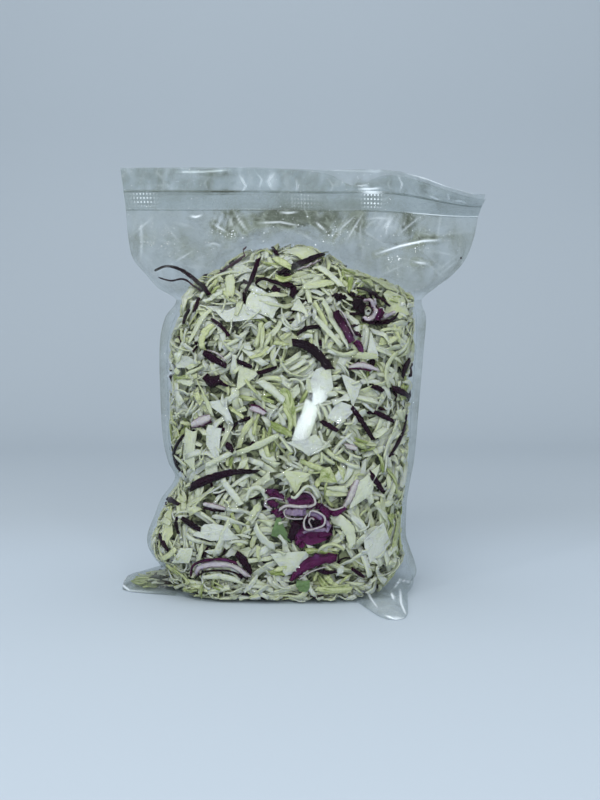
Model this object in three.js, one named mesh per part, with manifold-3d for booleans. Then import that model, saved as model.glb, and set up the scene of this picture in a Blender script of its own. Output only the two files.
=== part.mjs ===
// A clear press-to-close bag packed with coleslaw mix, standing on its own flattened base.
//
// The bag is a flat tube of film, so its girth is the same at every height: where the slaw fills it
// out it is narrow and deep, and where it is empty it opens to its full flat width. From the floor up:
//   base     the film pressed flat under the load, with a dog-ear of empty film at each bottom corner
//   body     a packed block of shreds, with the folded side edges standing off it as thin fins
//   neck     where the block ends and the sides are drawn in
//   tent     empty film closing from the neck to the zip, with creases running up from the neck
//   zip      a band with a track along each edge
//   lip      the loose film above the zip, which curls forwards at its right-hand corner
// Shreds and leaf pieces that press against the film stand out of the body as relief.
//
// Millimetres, +Z up, front towards -Y. The origin is at the bottom centre of the bounding box.

import * as THREE from "three";
import { mergeVertices } from "three/addons/utils/BufferGeometryUtils.js";
import Module from "manifold-3d";

const wasm = await Module();
wasm.setup();

// ---------------------------------------------------------------- driving dimensions

const ZIP_FOOT = 264; // height of the zip band's lower track
const ZIP_BAND = 12; // height of the zip band
const LIP = 16; // loose film above the zip
const HEIGHT = ZIP_FOOT + ZIP_BAND + LIP;
const NECK = 202; // height of the drawn-in neck

const FIN_THICK = 1.6; // the folded side edge of the film
const FIN_ROOT = 3.2; // the same edge where it leaves the body
const TRACK_PROUD = 1.1; // how far each zip track stands out of the band
const TRACK_TALL = 2.4;
const PLEAT = 0.09; // how deep the pleats round the neck are, as a share of the depth there
const PLEAT_PITCH = 6.5; // the distance between two pleats, over a full turn in radians

const LEFT_EAR_REACH = 120; // from the body's middle to the tip of the left dog-ear
const FRONT_EAR_REACH = 84; // from the body's middle to the tip of the front dog-ear

// Left and right edges of the film at each height, with the fin that each edge holds.
const EDGES = [
  { z: 0, left: 80, right: 84, fin: 0 },
  { z: 8, left: 90, right: 89, fin: 3 },
  { z: 16, left: 94, right: 88, fin: 8 },
  { z: 26, left: 101, right: 84, fin: 8 },
  { z: 36, left: 102, right: 80, fin: 8 },
  { z: 52, left: 96, right: 79.5, fin: 8 },
  { z: 62, left: 92, right: 80, fin: 8 },
  { z: 77, left: 82, right: 84.5, fin: 6 },
  { z: 88, left: 86.5, right: 86.5, fin: 7 },
  { z: 104, left: 90, right: 88, fin: 8 },
  { z: 132, left: 91.5, right: 90, fin: 8 },
  { z: 172, left: 91.5, right: 93, fin: 8 },
  { z: 190, left: 87.5, right: 94, fin: 7 },
  { z: NECK, left: 80, right: 91, fin: 5 },
  { z: 210, left: 92, right: 100, fin: 3 },
  { z: 219, left: 100, right: 111.5, fin: 1 },
  { z: 230, left: 109, right: 120, fin: 0 },
  { z: 244, left: 112, right: 125, fin: 0 },
  { z: ZIP_FOOT, left: 113.5, right: 128.5, fin: 0 },
  { z: HEIGHT, left: 117, right: 129, fin: 0 },
];

// Half the depth from front to back at each height, and how square the section is there.
const DEPTHS = [
  { z: 0, half: 42, square: 3.4 },
  { z: 6, half: 49, square: 3.3 },
  { z: 18, half: 52.5, square: 3.2 },
  { z: 60, half: 53.5, square: 3.1 },
  { z: 140, half: 51.5, square: 3 },
  { z: 185, half: 47, square: 2.8 },
  { z: NECK, half: 41, square: 2.4 },
  { z: 218, half: 34, square: 2 },
  { z: 232, half: 25, square: 1.8 },
  { z: 250, half: 11.5, square: 1.7 },
  { z: ZIP_FOOT, half: 2, square: 1.6 },
  { z: HEIGHT, half: 1.4, square: 1.6 },
];

// ---------------------------------------------------------------- small tools

// A repeatable random source: the same seed gives the same bag.
function seeded(seed) {
  let state = seed >>> 0;
  return () => {
    state = (state + 0x6d2b79f5) >>> 0;
    let t = Math.imul(state ^ (state >>> 15), state | 1);
    t ^= t + Math.imul(t ^ (t >>> 7), t | 61);
    return ((t ^ (t >>> 14)) >>> 0) / 4294967296;
  };
}

function smooth(low, high, x) {
  const t = THREE.MathUtils.clamp((x - low) / (high - low), 0, 1);
  return t * t * (3 - 2 * t);
}

// The value of one column of a station table at height z, on a curve through its stations.
function along(stations, key, z) {
  const last = stations.length - 1;
  if (z <= stations[0].z) return stations[0][key];
  if (z >= stations[last].z) return stations[last][key];
  const i = stations.findIndex((s) => s.z > z) - 1;
  const slope = (j) => {
    const before = stations[Math.max(j - 1, 0)];
    const after = stations[Math.min(j + 1, last)];
    return (after[key] - before[key]) / (after.z - before.z);
  };
  const span = stations[i + 1].z - stations[i].z;
  const t = (z - stations[i].z) / span;
  const near = stations[i][key] + t * t * (3 - 2 * t) * (stations[i + 1][key] - stations[i][key]);
  const lean = t * (1 - t) * (1 - t) * slope(i) - t * t * (1 - t) * slope(i + 1);
  return near + span * lean;
}

// A closed mesh as a manifold-3d solid.
function solidFrom(geometry) {
  const bare = geometry.index ? geometry.toNonIndexed() : geometry;
  const position = new THREE.BufferGeometry().setAttribute("position", bare.getAttribute("position"));
  const merged = mergeVertices(position, 1e-4);
  return new wasm.Manifold(
    new wasm.Mesh({
      numProp: 3,
      vertProperties: merged.attributes.position.array,
      triVerts: new Uint32Array(merged.index.array),
    }),
  );
}

function geometryFrom(solid) {
  const mesh = solid.getMesh();
  const geometry = new THREE.BufferGeometry()
    .setAttribute("position", new THREE.BufferAttribute(new Float32Array(mesh.vertProperties), 3))
    .setIndex(new THREE.BufferAttribute(mesh.triVerts, 1));
  geometry.computeVertexNormals();
  return geometry;
}

// A closed skin over a stack of rings of equal length, each capped by a fan at its own middle.
function skin(rings) {
  const count = rings[0].length;
  const points = rings.flat();
  const middle = (ring) =>
    ring.reduce((sum, p) => sum.add(p), new THREE.Vector3()).divideScalar(ring.length);
  const first = points.push(middle(rings[0])) - 1;
  const last = points.push(middle(rings[rings.length - 1])) - 1;
  const faces = [];
  for (let r = 0; r + 1 < rings.length; r++) {
    for (let i = 0; i < count; i++) {
      const a = r * count + i;
      const b = r * count + ((i + 1) % count);
      faces.push(a, b, b + count, a, b + count, a + count);
    }
  }
  const top = (rings.length - 1) * count;
  for (let i = 0; i < count; i++) {
    const next = (i + 1) % count;
    faces.push(first, next, i, last, top + i, top + next);
  }
  return new THREE.BufferGeometry().setFromPoints(points).setIndex(faces);
}

// ---------------------------------------------------------------- the film's form

// The film's point on the section at height z, where turn runs from 0 at the right-hand edge,
// through a quarter at the back and a half at the left-hand edge, to three quarters at the front.
function sectionPoint(turn, z) {
  const c = Math.cos(turn * 2 * Math.PI);
  const s = Math.sin(turn * 2 * Math.PI);
  const edge = c > 0 ? along(EDGES, "right", z) : along(EDGES, "left", z);
  const power = 2 / along(DEPTHS, "square", z);
  const x = (edge - along(EDGES, "fin", z)) * Math.sign(c) * Math.abs(c) ** power;
  const y = along(DEPTHS, "half", z) * Math.sign(s) * Math.abs(s) ** power;
  const pleat = 1 + PLEAT * tented(z) * Math.sin(x / PLEAT_PITCH + 1.4 * Math.sin(z / 17));
  return new THREE.Vector3(x, y * pleat, z);
}

// How much the film at height z is gathered into pleats: none on the body and none at the zip.
function tented(z) {
  return smooth(NECK - 22, NECK, z) * (1 - smooth(NECK + 20, ZIP_FOOT - 6, z));
}

// Moves a point of the straight header to where the hanging film is: gentle waves across it, and
// a right-hand corner that sinks and curls forwards above the zip.
function draped(point) {
  const loose = smooth(NECK + 10, ZIP_FOOT, point.z);
  const right = smooth(40, 130, point.x);
  const above = Math.max(point.z - ZIP_FOOT, 0);
  const curl = 1.12 * right;
  const wave = 3.2 * Math.sin(point.x / 31 + 0.8) + 1.6 * Math.sin(point.x / 13.5);
  const sunk = point.z - above + above * Math.cos(curl) - 5 * right * loose;
  return new THREE.Vector3(point.x, point.y + wave * loose - above * Math.sin(curl), sunk);
}

// Rings from the floor to the lip, with the tracks of the zip standing out of the band.
function bagRings() {
  const panelSteps = 24;
  const trackFeet = [ZIP_FOOT, ZIP_FOOT + ZIP_BAND - TRACK_TALL];
  const heights = [0, 2.5, 6, 11, 18, 26, 36, 48, 60, 70, 77, 86, 98, 114, 132, 150, 166, 180];
  heights.push(190, 197, NECK, 207, 213, 220, 228, 236, 244, 252, 259);
  for (const foot of trackFeet) {
    heights.push(foot - 0.2, foot + 0.3, foot + TRACK_TALL - 0.5, foot + TRACK_TALL);
  }
  heights.push(ZIP_FOOT + ZIP_BAND + LIP / 3, HEIGHT - LIP / 3, HEIGHT);

  return heights.map((z) => {
    const onTrack = trackFeet.some((foot) => z > foot && z < foot + TRACK_TALL);
    const proud = onTrack ? TRACK_PROUD : 0;
    const ring = [];
    for (const side of [-1, 1]) {
      const edges = side < 0 ? ["left", "right"] : ["right", "left"];
      const ends = edges.map((key) => (key === "left" ? -1 : 1) * along(EDGES, key, z));
      const fin = along(EDGES, "fin", z);
      const half = along(DEPTHS, "half", z);
      const tip = Math.min(FIN_THICK / 2, half * 0.4) + proud / 2;
      const root = Math.min(FIN_ROOT / 2, half * 0.6) + proud / 2;
      const inset = Math.max(fin, 1.5);
      ring.push(new THREE.Vector3(ends[0], side * tip, z));
      ring.push(new THREE.Vector3(ends[0] - Math.sign(ends[0]) * inset, side * root, z));
      for (let i = 1; i < panelSteps; i++) {
        const turn = (side < 0 ? 0.5 : 0) + (i / panelSteps) * 0.5;
        const p = sectionPoint(turn, z);
        const limit = Math.abs(p.x > 0 ? along(EDGES, "right", z) : along(EDGES, "left", z)) - inset - 0.4;
        p.x = THREE.MathUtils.clamp(p.x, -limit, limit);
        p.y = side * Math.max(Math.abs(p.y), root) + side * proud;
        ring.push(p);
      }
      ring.push(new THREE.Vector3(ends[1] - Math.sign(ends[1]) * inset, side * root, z));
      ring.push(new THREE.Vector3(ends[1], side * tip, z));
    }
    return ring.map(draped);
  });
}

// ---------------------------------------------------------------- dog-ears

// A flattened pocket of film on the floor, from a root inside the body to a blunt tip.
function ear({ root, tip, rootWide, tipWide, rootTall, tipTall }) {
  const steps = 8;
  const across = 10;
  const run = new THREE.Vector2().subVectors(tip, root);
  const side = new THREE.Vector2(-run.y, run.x).normalize();
  const rings = [];
  for (let i = 0; i <= steps; i++) {
    const t = i / steps;
    const roundTip = Math.sqrt(Math.max(1 - ((t - 0.8) / 0.2) ** 2, 0));
    const close = t < 0.8 ? 1 : 0.35 + 0.65 * roundTip;
    const wide = THREE.MathUtils.lerp(rootWide, tipWide, t) * close;
    const tall = THREE.MathUtils.lerp(rootTall, tipTall, t ** 0.7) * close;
    const centre = new THREE.Vector2().copy(root).addScaledVector(run, t);
    const ring = [];
    for (let k = 0; k < across; k++) {
      const angle = (k / (across - 1)) * Math.PI;
      const reach = Math.cos(angle) * wide * 0.5;
      const lift = tall * Math.sin(angle) ** 0.8;
      ring.push(new THREE.Vector3(centre.x + side.x * reach, centre.y + side.y * reach, lift));
    }
    rings.push(ring);
  }
  return solidFrom(skin(rings));
}

function leftEar() {
  return ear({
    root: new THREE.Vector2(-56, -3),
    tip: new THREE.Vector2(-LEFT_EAR_REACH, -3),
    rootWide: 66,
    tipWide: 30,
    rootTall: 24,
    tipTall: 7,
  });
}

function frontEar() {
  return ear({
    root: new THREE.Vector2(58, -14),
    tip: new THREE.Vector2(67, -FRONT_EAR_REACH),
    rootWide: 48,
    tipWide: 15,
    rootTall: 20,
    tipTall: 3,
  });
}

// ---------------------------------------------------------------- shreds under the film

// The body's surface near (turn, z), with its outward normal and its two directions.
function frameAt(turn, z) {
  const step = 1e-3;
  const here = sectionPoint(turn, z);
  const round = sectionPoint(turn + step, z).sub(here);
  const up = sectionPoint(turn, z + 1).sub(here);
  const perTurn = round.length() / step;
  const perHeight = up.length();
  const normal = new THREE.Vector3().crossVectors(round, up).normalize();
  return { here, normal, perTurn, perHeight };
}

// A shred that lies on the body and bends across it, as a strip with one edge lifted over its
// neighbours: the lifted edge stands out by proud, and the other by a share of it.
function shred({ turn, z, heading, long, wide, bend, proud, tilt }) {
  const steps = 5;
  const sunk = 2.5;
  const path = [];
  let at = { turn, z, heading: heading - (bend * long) / 2 };
  const stride = long / steps;
  for (let i = 0; i <= steps; i++) {
    path.push(frameAt(at.turn, at.z));
    const { perTurn, perHeight } = path[path.length - 1];
    at = {
      turn: at.turn + (stride * Math.cos(at.heading)) / perTurn,
      z: at.z + (stride * Math.sin(at.heading)) / perHeight,
      heading: at.heading + bend * stride,
    };
  }
  const rings = path.map(({ here, normal }, i) => {
    const ahead = path[Math.min(i + 1, steps)].here;
    const behind = path[Math.max(i - 1, 0)].here;
    const across = new THREE.Vector3().subVectors(ahead, behind).cross(normal).normalize();
    const taper = 1 - 0.45 * Math.abs((2 * i) / steps - 1) ** 3;
    const corner = (side, lift) =>
      here.clone().addScaledVector(across, side * wide * 0.5 * taper).addScaledVector(normal, lift);
    const edges = [proud * Math.min(1 - tilt, 1), proud * Math.min(1 + tilt, 1)];
    return [corner(-0.9, edges[0]), corner(0.9, edges[1]), corner(1, -sunk), corner(-1, -sunk)];
  });
  return solidFrom(skin(rings));
}

// The turn at which the section at height z is a given share of the way from its middle to an edge.
function turnAt(share, front, z) {
  const c = Math.sign(share) * Math.abs(share) ** (along(DEPTHS, "square", z) / 2);
  const turn = Math.acos(c) / (2 * Math.PI);
  return front ? 1 - turn : turn;
}

// Shreds spread over the front and the back and round to the fins, clear of the base and the tent.
function shreds() {
  const random = seeded(7);
  const between = (low, high) => low + (high - low) * random();
  const rows = 7;
  const perPanel = 4;
  const made = [];
  for (let row = 0; row < rows; row++) {
    for (let k = 0; k < 2 * perPanel; k++) {
      const share = -0.93 + (1.86 * ((k % perPanel) + between(0.15, 0.85))) / perPanel;
      const z = 32 + ((row + between(0.2, 0.8)) / rows) * 150;
      const leaf = random() < 0.2;
      const upright = Math.abs(share) > 0.75;
      made.push(
        shred({
          turn: turnAt(share, k < perPanel, z),
          z,
          heading: upright ? Math.PI / 2 + between(-0.4, 0.4) : between(0, Math.PI),
          long: leaf ? between(16, 22) : between(26, 40),
          wide: leaf ? between(12, 15) : between(5, 7),
          bend: between(-0.035, 0.035),
          proud: between(2.2, 3.2),
          tilt: random() < 0.5 ? -0.8 : 0.8,
        }),
      );
    }
  }
  return made;
}

// ---------------------------------------------------------------- the bag

function bagSolid() {
  const film = solidFrom(skin(bagRings()));
  return wasm.Manifold.union([film, leftEar(), frontEar(), ...shreds()]);
}

function bag() {
  const clearFilm = new THREE.MeshStandardMaterial({
    color: 0xc3cfb4,
    roughness: 0.25,
    metalness: 0,
  });
  const geometry = geometryFrom(bagSolid());
  const mesh = new THREE.Mesh(geometry, clearFilm);
  mesh.name = "bag";
  geometry.computeBoundingBox();
  const middle = geometry.boundingBox.getCenter(new THREE.Vector3());
  mesh.position.set(-middle.x, -middle.y, -geometry.boundingBox.min.z);
  return mesh;
}

const bagOfColeslaw = new THREE.Group();
bagOfColeslaw.add(bag());

export default bagOfColeslaw;
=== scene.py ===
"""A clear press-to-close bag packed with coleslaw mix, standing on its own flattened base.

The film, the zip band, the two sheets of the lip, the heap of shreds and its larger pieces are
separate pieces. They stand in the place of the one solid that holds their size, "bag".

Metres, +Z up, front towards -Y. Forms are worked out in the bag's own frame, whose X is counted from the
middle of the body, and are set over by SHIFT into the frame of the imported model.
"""

import math
from functools import cache

import bpy
import numpy as np
from bpy.props import FloatProperty, FloatVectorProperty, PointerProperty
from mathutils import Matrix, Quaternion, Vector, noise
from mathutils.bvhtree import BVHTree


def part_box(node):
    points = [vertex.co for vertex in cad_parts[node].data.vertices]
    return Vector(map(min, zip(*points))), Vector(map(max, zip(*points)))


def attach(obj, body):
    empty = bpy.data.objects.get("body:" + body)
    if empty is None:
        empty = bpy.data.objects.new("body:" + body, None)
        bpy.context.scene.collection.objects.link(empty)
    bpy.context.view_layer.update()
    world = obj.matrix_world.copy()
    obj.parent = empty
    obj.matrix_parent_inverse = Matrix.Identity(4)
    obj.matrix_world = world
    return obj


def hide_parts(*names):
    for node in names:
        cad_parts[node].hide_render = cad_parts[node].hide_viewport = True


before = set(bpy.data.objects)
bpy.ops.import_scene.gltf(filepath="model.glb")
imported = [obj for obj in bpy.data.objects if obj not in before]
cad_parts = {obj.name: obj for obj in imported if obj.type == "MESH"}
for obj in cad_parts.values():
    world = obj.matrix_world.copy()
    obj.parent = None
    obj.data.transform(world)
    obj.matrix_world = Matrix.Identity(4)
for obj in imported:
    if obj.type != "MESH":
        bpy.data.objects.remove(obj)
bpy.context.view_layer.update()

bl_info = {
    "name": "Coleslaw bag",
    "version": (1, 0, 0),
    "blender": (4, 5, 0),
    "location": "View3D > Sidebar > Coleslaw",
    "description": "Builds a clear zip bag packed with shredded cabbage",
    "category": "Object",
}

# ---------------------------------------------------------------- driving dimensions

MM = 0.001

ZIP_FOOT = 0.264
ZIP_BAND = 0.012
LIP = 0.016
HEIGHT = ZIP_FOOT + ZIP_BAND + LIP
NECK = 0.202

FIN_THICK = 0.0016
FIN_ROOT = 0.0032
PLEAT = 0.09
PLEAT_PITCH = 0.0065
TENT_BELOW, TENT_ABOVE = 0.022, 0.020  # how far the pleats reach from the neck
ZIP_CLEAR = 0.006  # smooth film under the zip
CURL = 1.12  # of the lip's right-hand corner, in radians
CORNER_DROOP = 0.005
WAVES = ((0.0032, 0.031, 0.8), (0.0016, 0.0135, 0.0))  # of the header: height, length and start

LEFT_EAR_REACH = 0.120
FRONT_EAR_REACH = 0.084
FRONT_EAR_ROUND = 0.0003
EAR_TIP_GAP = 0.0005  # from each ear's tip to its reach

# Height, left edge, right edge and fin of the film.
EDGES = np.array(
    [
        (0.000, 0.0800, 0.0840, 0.000),
        (0.008, 0.0900, 0.0890, 0.003),
        (0.016, 0.0940, 0.0880, 0.006),
        (0.026, 0.1010, 0.0845, 0.004),
        (0.036, 0.1020, 0.0815, 0.003),
        (0.052, 0.0960, 0.0815, 0.003),
        (0.062, 0.0920, 0.0820, 0.003),
        (0.077, 0.0820, 0.0845, 0.003),
        (0.088, 0.0865, 0.0865, 0.004),
        (0.104, 0.0900, 0.0880, 0.005),
        (0.132, 0.0915, 0.0900, 0.006),
        (0.172, 0.0915, 0.0930, 0.006),
        (0.190, 0.0875, 0.0940, 0.007),
        (NECK, 0.0800, 0.0910, 0.005),
        (0.210, 0.0920, 0.1000, 0.003),
        (0.219, 0.1000, 0.1115, 0.001),
        (0.230, 0.1090, 0.1200, 0.000),
        (0.244, 0.1120, 0.1250, 0.000),
        (ZIP_FOOT, 0.1135, 0.1285, 0.000),
        (HEIGHT, 0.1170, 0.1290, 0.000),
    ]
)
LEFT, RIGHT, FIN = 1, 2, 3

# Height, half depth and squareness of the film's section.
DEPTHS = np.array(
    [
        (0.000, 0.0470, 3.4),
        (0.005, 0.0508, 3.3),
        (0.018, 0.0525, 3.2),
        (0.060, 0.0535, 3.1),
        (0.140, 0.0515, 3.0),
        (0.185, 0.0470, 2.8),
        (NECK, 0.0410, 2.4),
        (0.218, 0.0340, 2.0),
        (0.232, 0.0250, 1.8),
        (0.250, 0.0115, 1.7),
        (ZIP_FOOT, 0.0020, 1.6),
        (HEIGHT, 0.0014, 1.6),
    ]
)
HALF, SQUARE = 1, 2

# The free top of the heap above the neck: height, left edge, right edge and half depth.
DOME = np.array(
    [
        (NECK, 0.0765, 0.0860, 0.0392),
        (0.210, 0.0725, 0.0780, 0.0355),
        (0.216, 0.0650, 0.0640, 0.0328),
        (0.222, 0.0540, 0.0450, 0.0285),
        (0.230, 0.0410, 0.0310, 0.0222),
        (0.236, 0.0280, 0.0230, 0.0160),
        (0.2395, 0.0110, 0.0130, 0.0085),
    ]
)
DOME_HALF = 3
DOME_SQUARE = 2.2

CORNER_GAP = 0.24  # share of the right half's width that is empty film at the very base
CORNER_TALL = 0.024
HEAP_INSET = 0.0014  # from the film to the outermost shreds
SHELL = 0.010  # depth of the loose shreds over the dark core
HELD = 0.0006  # most that a shred stands out of the heap's form, and least that it lies above the floor
PROUD = 0.004  # the same over the heap's free top
HANGING_PROUD = 0.06  # the same for placed strips, some of which hang in the header
END_DROP = 0.0006  # how much lower a strip would lie past its ends
BASE_BAND = 0.013  # height of the squashed strips that lie along the base

SEED = 11
DROPLET_SEED, CORNER_SEED, SCRATCH_SEED = SEED + 1, SEED + 2, SEED + 3

# Steps of the film's mesh.
PANEL_STEPS = 200
FIN_STEPS = 3
SECTION_POINTS = 400  # of the curve that a panel's even steps are read from
FILM_ROWS = ((0.0, 0.018, 12), (0.018, 0.186, 90), (0.186, ZIP_FOOT, 95))  # from, to and steps
BASE_RINGS = (0, 0.25, 0.5, 0.75, 0.92)  # shares of the foot's outline

# Marks that the finishes read from the meshes.
CREASE_AND_GLINT = "crease_and_glint"  # how white the film is: along folds, whitened film and a painted highlight; elsewhere painted highlights and glints
TAUT = "taut"  # where the film is pulled flat, from 0 to 1
ZONE = "free"  # how grey the film looks: 0 against the contents, 1 free of them, more where it carries painted shade
MARK = "strip"  # red: one random number a strip, green: along it, blue: across it

# ---------------------------------------------------------------- camera

FRAME_WIDE, FRAME_TALL = 600, 800
LENS = 0.045
SENSOR = 0.036
CAMERA_DISTANCE = 0.702
CAMERA_ELEVATION = math.radians(5)
CAMERA_TARGET = np.array([0.0063, 0.0, 0.132])
FORWARD = np.array([0, math.cos(CAMERA_ELEVATION), -math.sin(CAMERA_ELEVATION)])
UP = np.array([0, math.sin(CAMERA_ELEVATION), math.cos(CAMERA_ELEVATION)])
EYE = CAMERA_TARGET - FORWARD * CAMERA_DISTANCE
FOCAL = LENS / SENSOR * FRAME_TALL  # the lens's length in places of the frame

LOW = np.array(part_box("bag")[0])
SHIFT = LOW + np.array([LEFT_EAR_REACH, FRONT_EAR_REACH + FRONT_EAR_ROUND, 0.0])

# ---------------------------------------------------------------- small tools


def smooth(low, high, x):
    t = np.clip((x - low) / (high - low), 0, 1)
    return t * t * (3 - 2 * t)


def along(stations, column, height):
    """A column of a station table at these heights, on a smooth curve through its stations."""
    z, v = stations[:, 0], stations[:, column]
    slope = np.empty_like(v)
    slope[1:-1] = (v[2:] - v[:-2]) / (z[2:] - z[:-2])
    slope[0] = (v[1] - v[0]) / (z[1] - z[0])
    slope[-1] = (v[-1] - v[-2]) / (z[-1] - z[-2])
    i = np.clip(np.searchsorted(z, height, side="right") - 1, 0, len(z) - 2)
    span = z[i + 1] - z[i]
    t = np.clip((height - z[i]) / span, 0, 1)
    ease = t * t * (3 - 2 * t)
    lean = t * (1 - t) ** 2 * slope[i] - t * t * (1 - t) * slope[i + 1]
    return v[i] + ease * (v[i + 1] - v[i]) + span * lean


def unit(vectors):
    return vectors / np.maximum(np.linalg.norm(vectors, axis=-1, keepdims=True), 1e-12)


def noise_at(points, size, offset=0.0):
    """Smooth noise from -1 to 1 at each point, with features of about this size."""
    flat = points.reshape(-1, 3) / size + offset
    values = np.array([noise.noise(Vector(p)) for p in flat])
    return values.reshape(points.shape[:-1])


def tented(z):
    """How much the film at height z is gathered into pleats."""
    return smooth(NECK - TENT_BELOW, NECK, z) * (1 - smooth(NECK + TENT_ABOVE, ZIP_FOOT - ZIP_CLEAR, z))


def draped(points):
    """Moves the straight header to where the hanging film is: waved, with a curled right-hand corner."""
    x, y, z = points[..., 0], points[..., 1], points[..., 2]
    loose = smooth(NECK + 0.010, ZIP_FOOT, z)
    right = smooth(0.040, 0.130, x)
    above = np.maximum(z - ZIP_FOOT, 0)
    curl = CURL * right
    wave = sum(high * np.sin(x / long + start) for high, long, start in WAVES)
    sunk = z - above + above * np.cos(curl) - CORNER_DROOP * right * loose
    return np.stack([x, y + wave * loose - above * np.sin(curl), sunk], axis=-1)


def panel(z, steps, inset=0.0):
    """Points across one panel of the film at height z, from its left root to its right root, evenly
    spaced along the film, as x and outward depth."""
    fin = max(along(EDGES, FIN, z), 0.0015)
    c = -np.cos(np.linspace(0, math.pi, SECTION_POINTS))
    square = along(DEPTHS, SQUARE, z)
    reach = np.where(c < 0, along(EDGES, LEFT, z), along(EDGES, RIGHT, z)) - fin - inset
    x = c * reach
    y = (along(DEPTHS, HALF, z) - inset) * (1 - np.abs(c) ** square) ** (1 / square)
    y = y * (1 + PLEAT * tented(z) * np.sin(x / PLEAT_PITCH + 1.4 * np.sin(z / 0.017)))
    run = np.concatenate([[0], np.cumsum(np.hypot(np.diff(x), np.diff(y)))])
    at = np.linspace(0, run[-1], steps + 1)
    return np.interp(at, run, x), np.interp(at, run, y)


def film_ring(z):
    """The film's ring at height z: along the front from the left fin to the right one, and back."""
    x, y = panel(z, PANEL_STEPS)
    half = along(DEPTHS, HALF, z)
    root, tip = min(FIN_ROOT / 2, half * 0.6), min(FIN_THICK / 2, half * 0.4)
    y = np.maximum(y, root)
    t = np.arange(FIN_STEPS) / FIN_STEPS
    left = -along(EDGES, LEFT, z) * (1 - t) + x[0] * t
    right = np.linspace(x[-1], along(EDGES, RIGHT, z), FIN_STEPS + 1)[1:]
    thin = tip + (root - tip) * t
    across = np.concatenate([left, x, right])
    depth = np.concatenate([thin, y, thin[::-1]])
    front = np.stack([across, -depth, np.full_like(across, z)], axis=-1)
    back = np.stack([across[::-1], depth[::-1], np.full_like(across, z)], axis=-1)
    return np.concatenate([front, back])


def film_heights():
    parts = [np.linspace(low, high, steps, endpoint=False) for low, high, steps in FILM_ROWS]
    return np.concatenate([*parts, [ZIP_FOOT]])


# ---------------------------------------------------------------- the heap's form


def heap_ring(z, steps):
    """A ring of the heap at height z, under the film up to the neck and free above it."""
    if z <= NECK:
        x, y = panel(z, steps, HEAP_INSET)
        x = np.where(x > 0, x * (1 - CORNER_GAP * (1 - smooth(0.002, CORNER_TALL, z))), x)
        reach_left, reach_right = -x[0], x[-1]
        lean = smooth(NECK - 0.03, NECK, z)
        x = np.where(x < 0, x * (1 + lean * (along(DOME, LEFT, z) / reach_left - 1)), x)
        x = np.where(x > 0, x * (1 + lean * (along(DOME, RIGHT, z) / reach_right - 1)), x)
    else:
        c = -np.cos(np.linspace(0, math.pi, steps + 1))
        x = c * np.where(c < 0, along(DOME, LEFT, z), along(DOME, RIGHT, z))
        y = along(DOME, DOME_HALF, z) * (1 - np.abs(c) ** DOME_SQUARE) ** (1 / DOME_SQUARE)
    front = np.stack([x, -y, np.full_like(x, z)], axis=-1)[:-1]
    back = np.stack([x[::-1], y[::-1], np.full_like(x, z)], axis=-1)[:-1]
    return np.concatenate([front, back])


class Heap:
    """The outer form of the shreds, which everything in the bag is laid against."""

    STEPS = 60

    def __init__(self):
        heights = np.concatenate(
            [np.linspace(0.0015, NECK, 80), np.linspace(NECK + 0.003, DOME[-1, 0], 16)]
        )
        rings = [heap_ring(z, self.STEPS) for z in heights]
        foot, top = rings[0], rings[-1]
        middle = foot.mean(axis=0)
        inner = [middle + (foot - middle) * s for s in (0.02, 0.2, 0.4, 0.6, 0.8)]
        peak = top.mean(axis=0) + np.array([0, 0, 0.0008])
        outer = [peak + (top - peak) * s for s in (0.6, 0.2)]
        self.rings = np.array(inner + rings + outer)
        rows, columns = self.rings.shape[:2]
        index = np.arange(rows * columns).reshape(rows, columns)
        around = np.roll(index, -1, axis=1)
        quads = np.stack([index[:-1], around[:-1], around[1:], index[1:]], axis=-1).reshape(-1, 4)
        self.points = self.rings.reshape(-1, 3)
        self.quads = quads
        self.tree = BVHTree.FromPolygons([Vector(p) for p in self.points], quads.tolist())
        corner = self.points[quads]
        cross = np.cross(corner[:, 2] - corner[:, 0], corner[:, 3] - corner[:, 1])
        area = np.linalg.norm(cross, axis=1)
        self.share = np.cumsum(area) / area.sum()

    def nearest(self, point):
        """The closest point of the heap's surface and the outward normal there."""
        spot, normal, _, _ = self.tree.find_nearest(Vector(point))
        return np.array(spot), np.array(normal)

    def spot(self, random):
        """A random place on the surface, evenly spread over its area."""
        quad = self.quads[min(np.searchsorted(self.share, random.random()), len(self.quads) - 1)]
        a, b, c, d = self.points[quad]
        u, v = random.random(2)
        return (a * (1 - u) + b * u) * (1 - v) + (d * (1 - u) + c * u) * v

    def seen_at(self, across, down):
        """The point of the surface that shows at this place of the camera's frame, and its normal."""
        spot, normal, _, _ = self.tree.ray_cast(Vector(EYE), Vector(sight(across, down)))
        return (None, None) if spot is None else (np.array(spot), np.array(normal))


def sight(across, down):
    """The camera's line of sight through a place of its 600 by 800 frame."""
    aim = FORWARD + (across - FRAME_WIDE / 2) / FOCAL * np.array([1, 0, 0])
    return unit(aim + (FRAME_TALL / 2 - down) / FOCAL * UP)


def frame_place(points):
    """Where points show in the camera's frame: across and down."""
    away = points - EYE
    depth = away @ FORWARD
    return FRAME_WIDE / 2 + FOCAL * away[:, 0] / depth, FRAME_TALL / 2 - FOCAL * (away @ UP) / depth


# ---------------------------------------------------------------- laying shreds on one another


class Pile:
    """Keeps the height of the pile over the core, cell by cell, so that each new piece lies on those
    already there and none stands out of the film."""

    CELL = 0.0025

    def __init__(self):
        self.height = {}
        self.ceiling = {}

    def cells(self, points):
        return [tuple(c) for c in np.floor(points.reshape(-1, 3) / self.CELL).astype(int).tolist()]

    def top(self, cells):
        return max([self.height.get(c, 0.0) for c in cells])

    def room(self, cells):
        return min([self.ceiling.get(c, SHELL) for c in cells])

    def raise_to(self, cells, height):
        for c in cells:
            if self.height.get(c, 0.0) < height:
                self.height[c] = height

    def reserve(self, cells, height):
        for c in cells:
            self.ceiling[c] = min(self.ceiling.get(c, SHELL), height)


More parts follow.
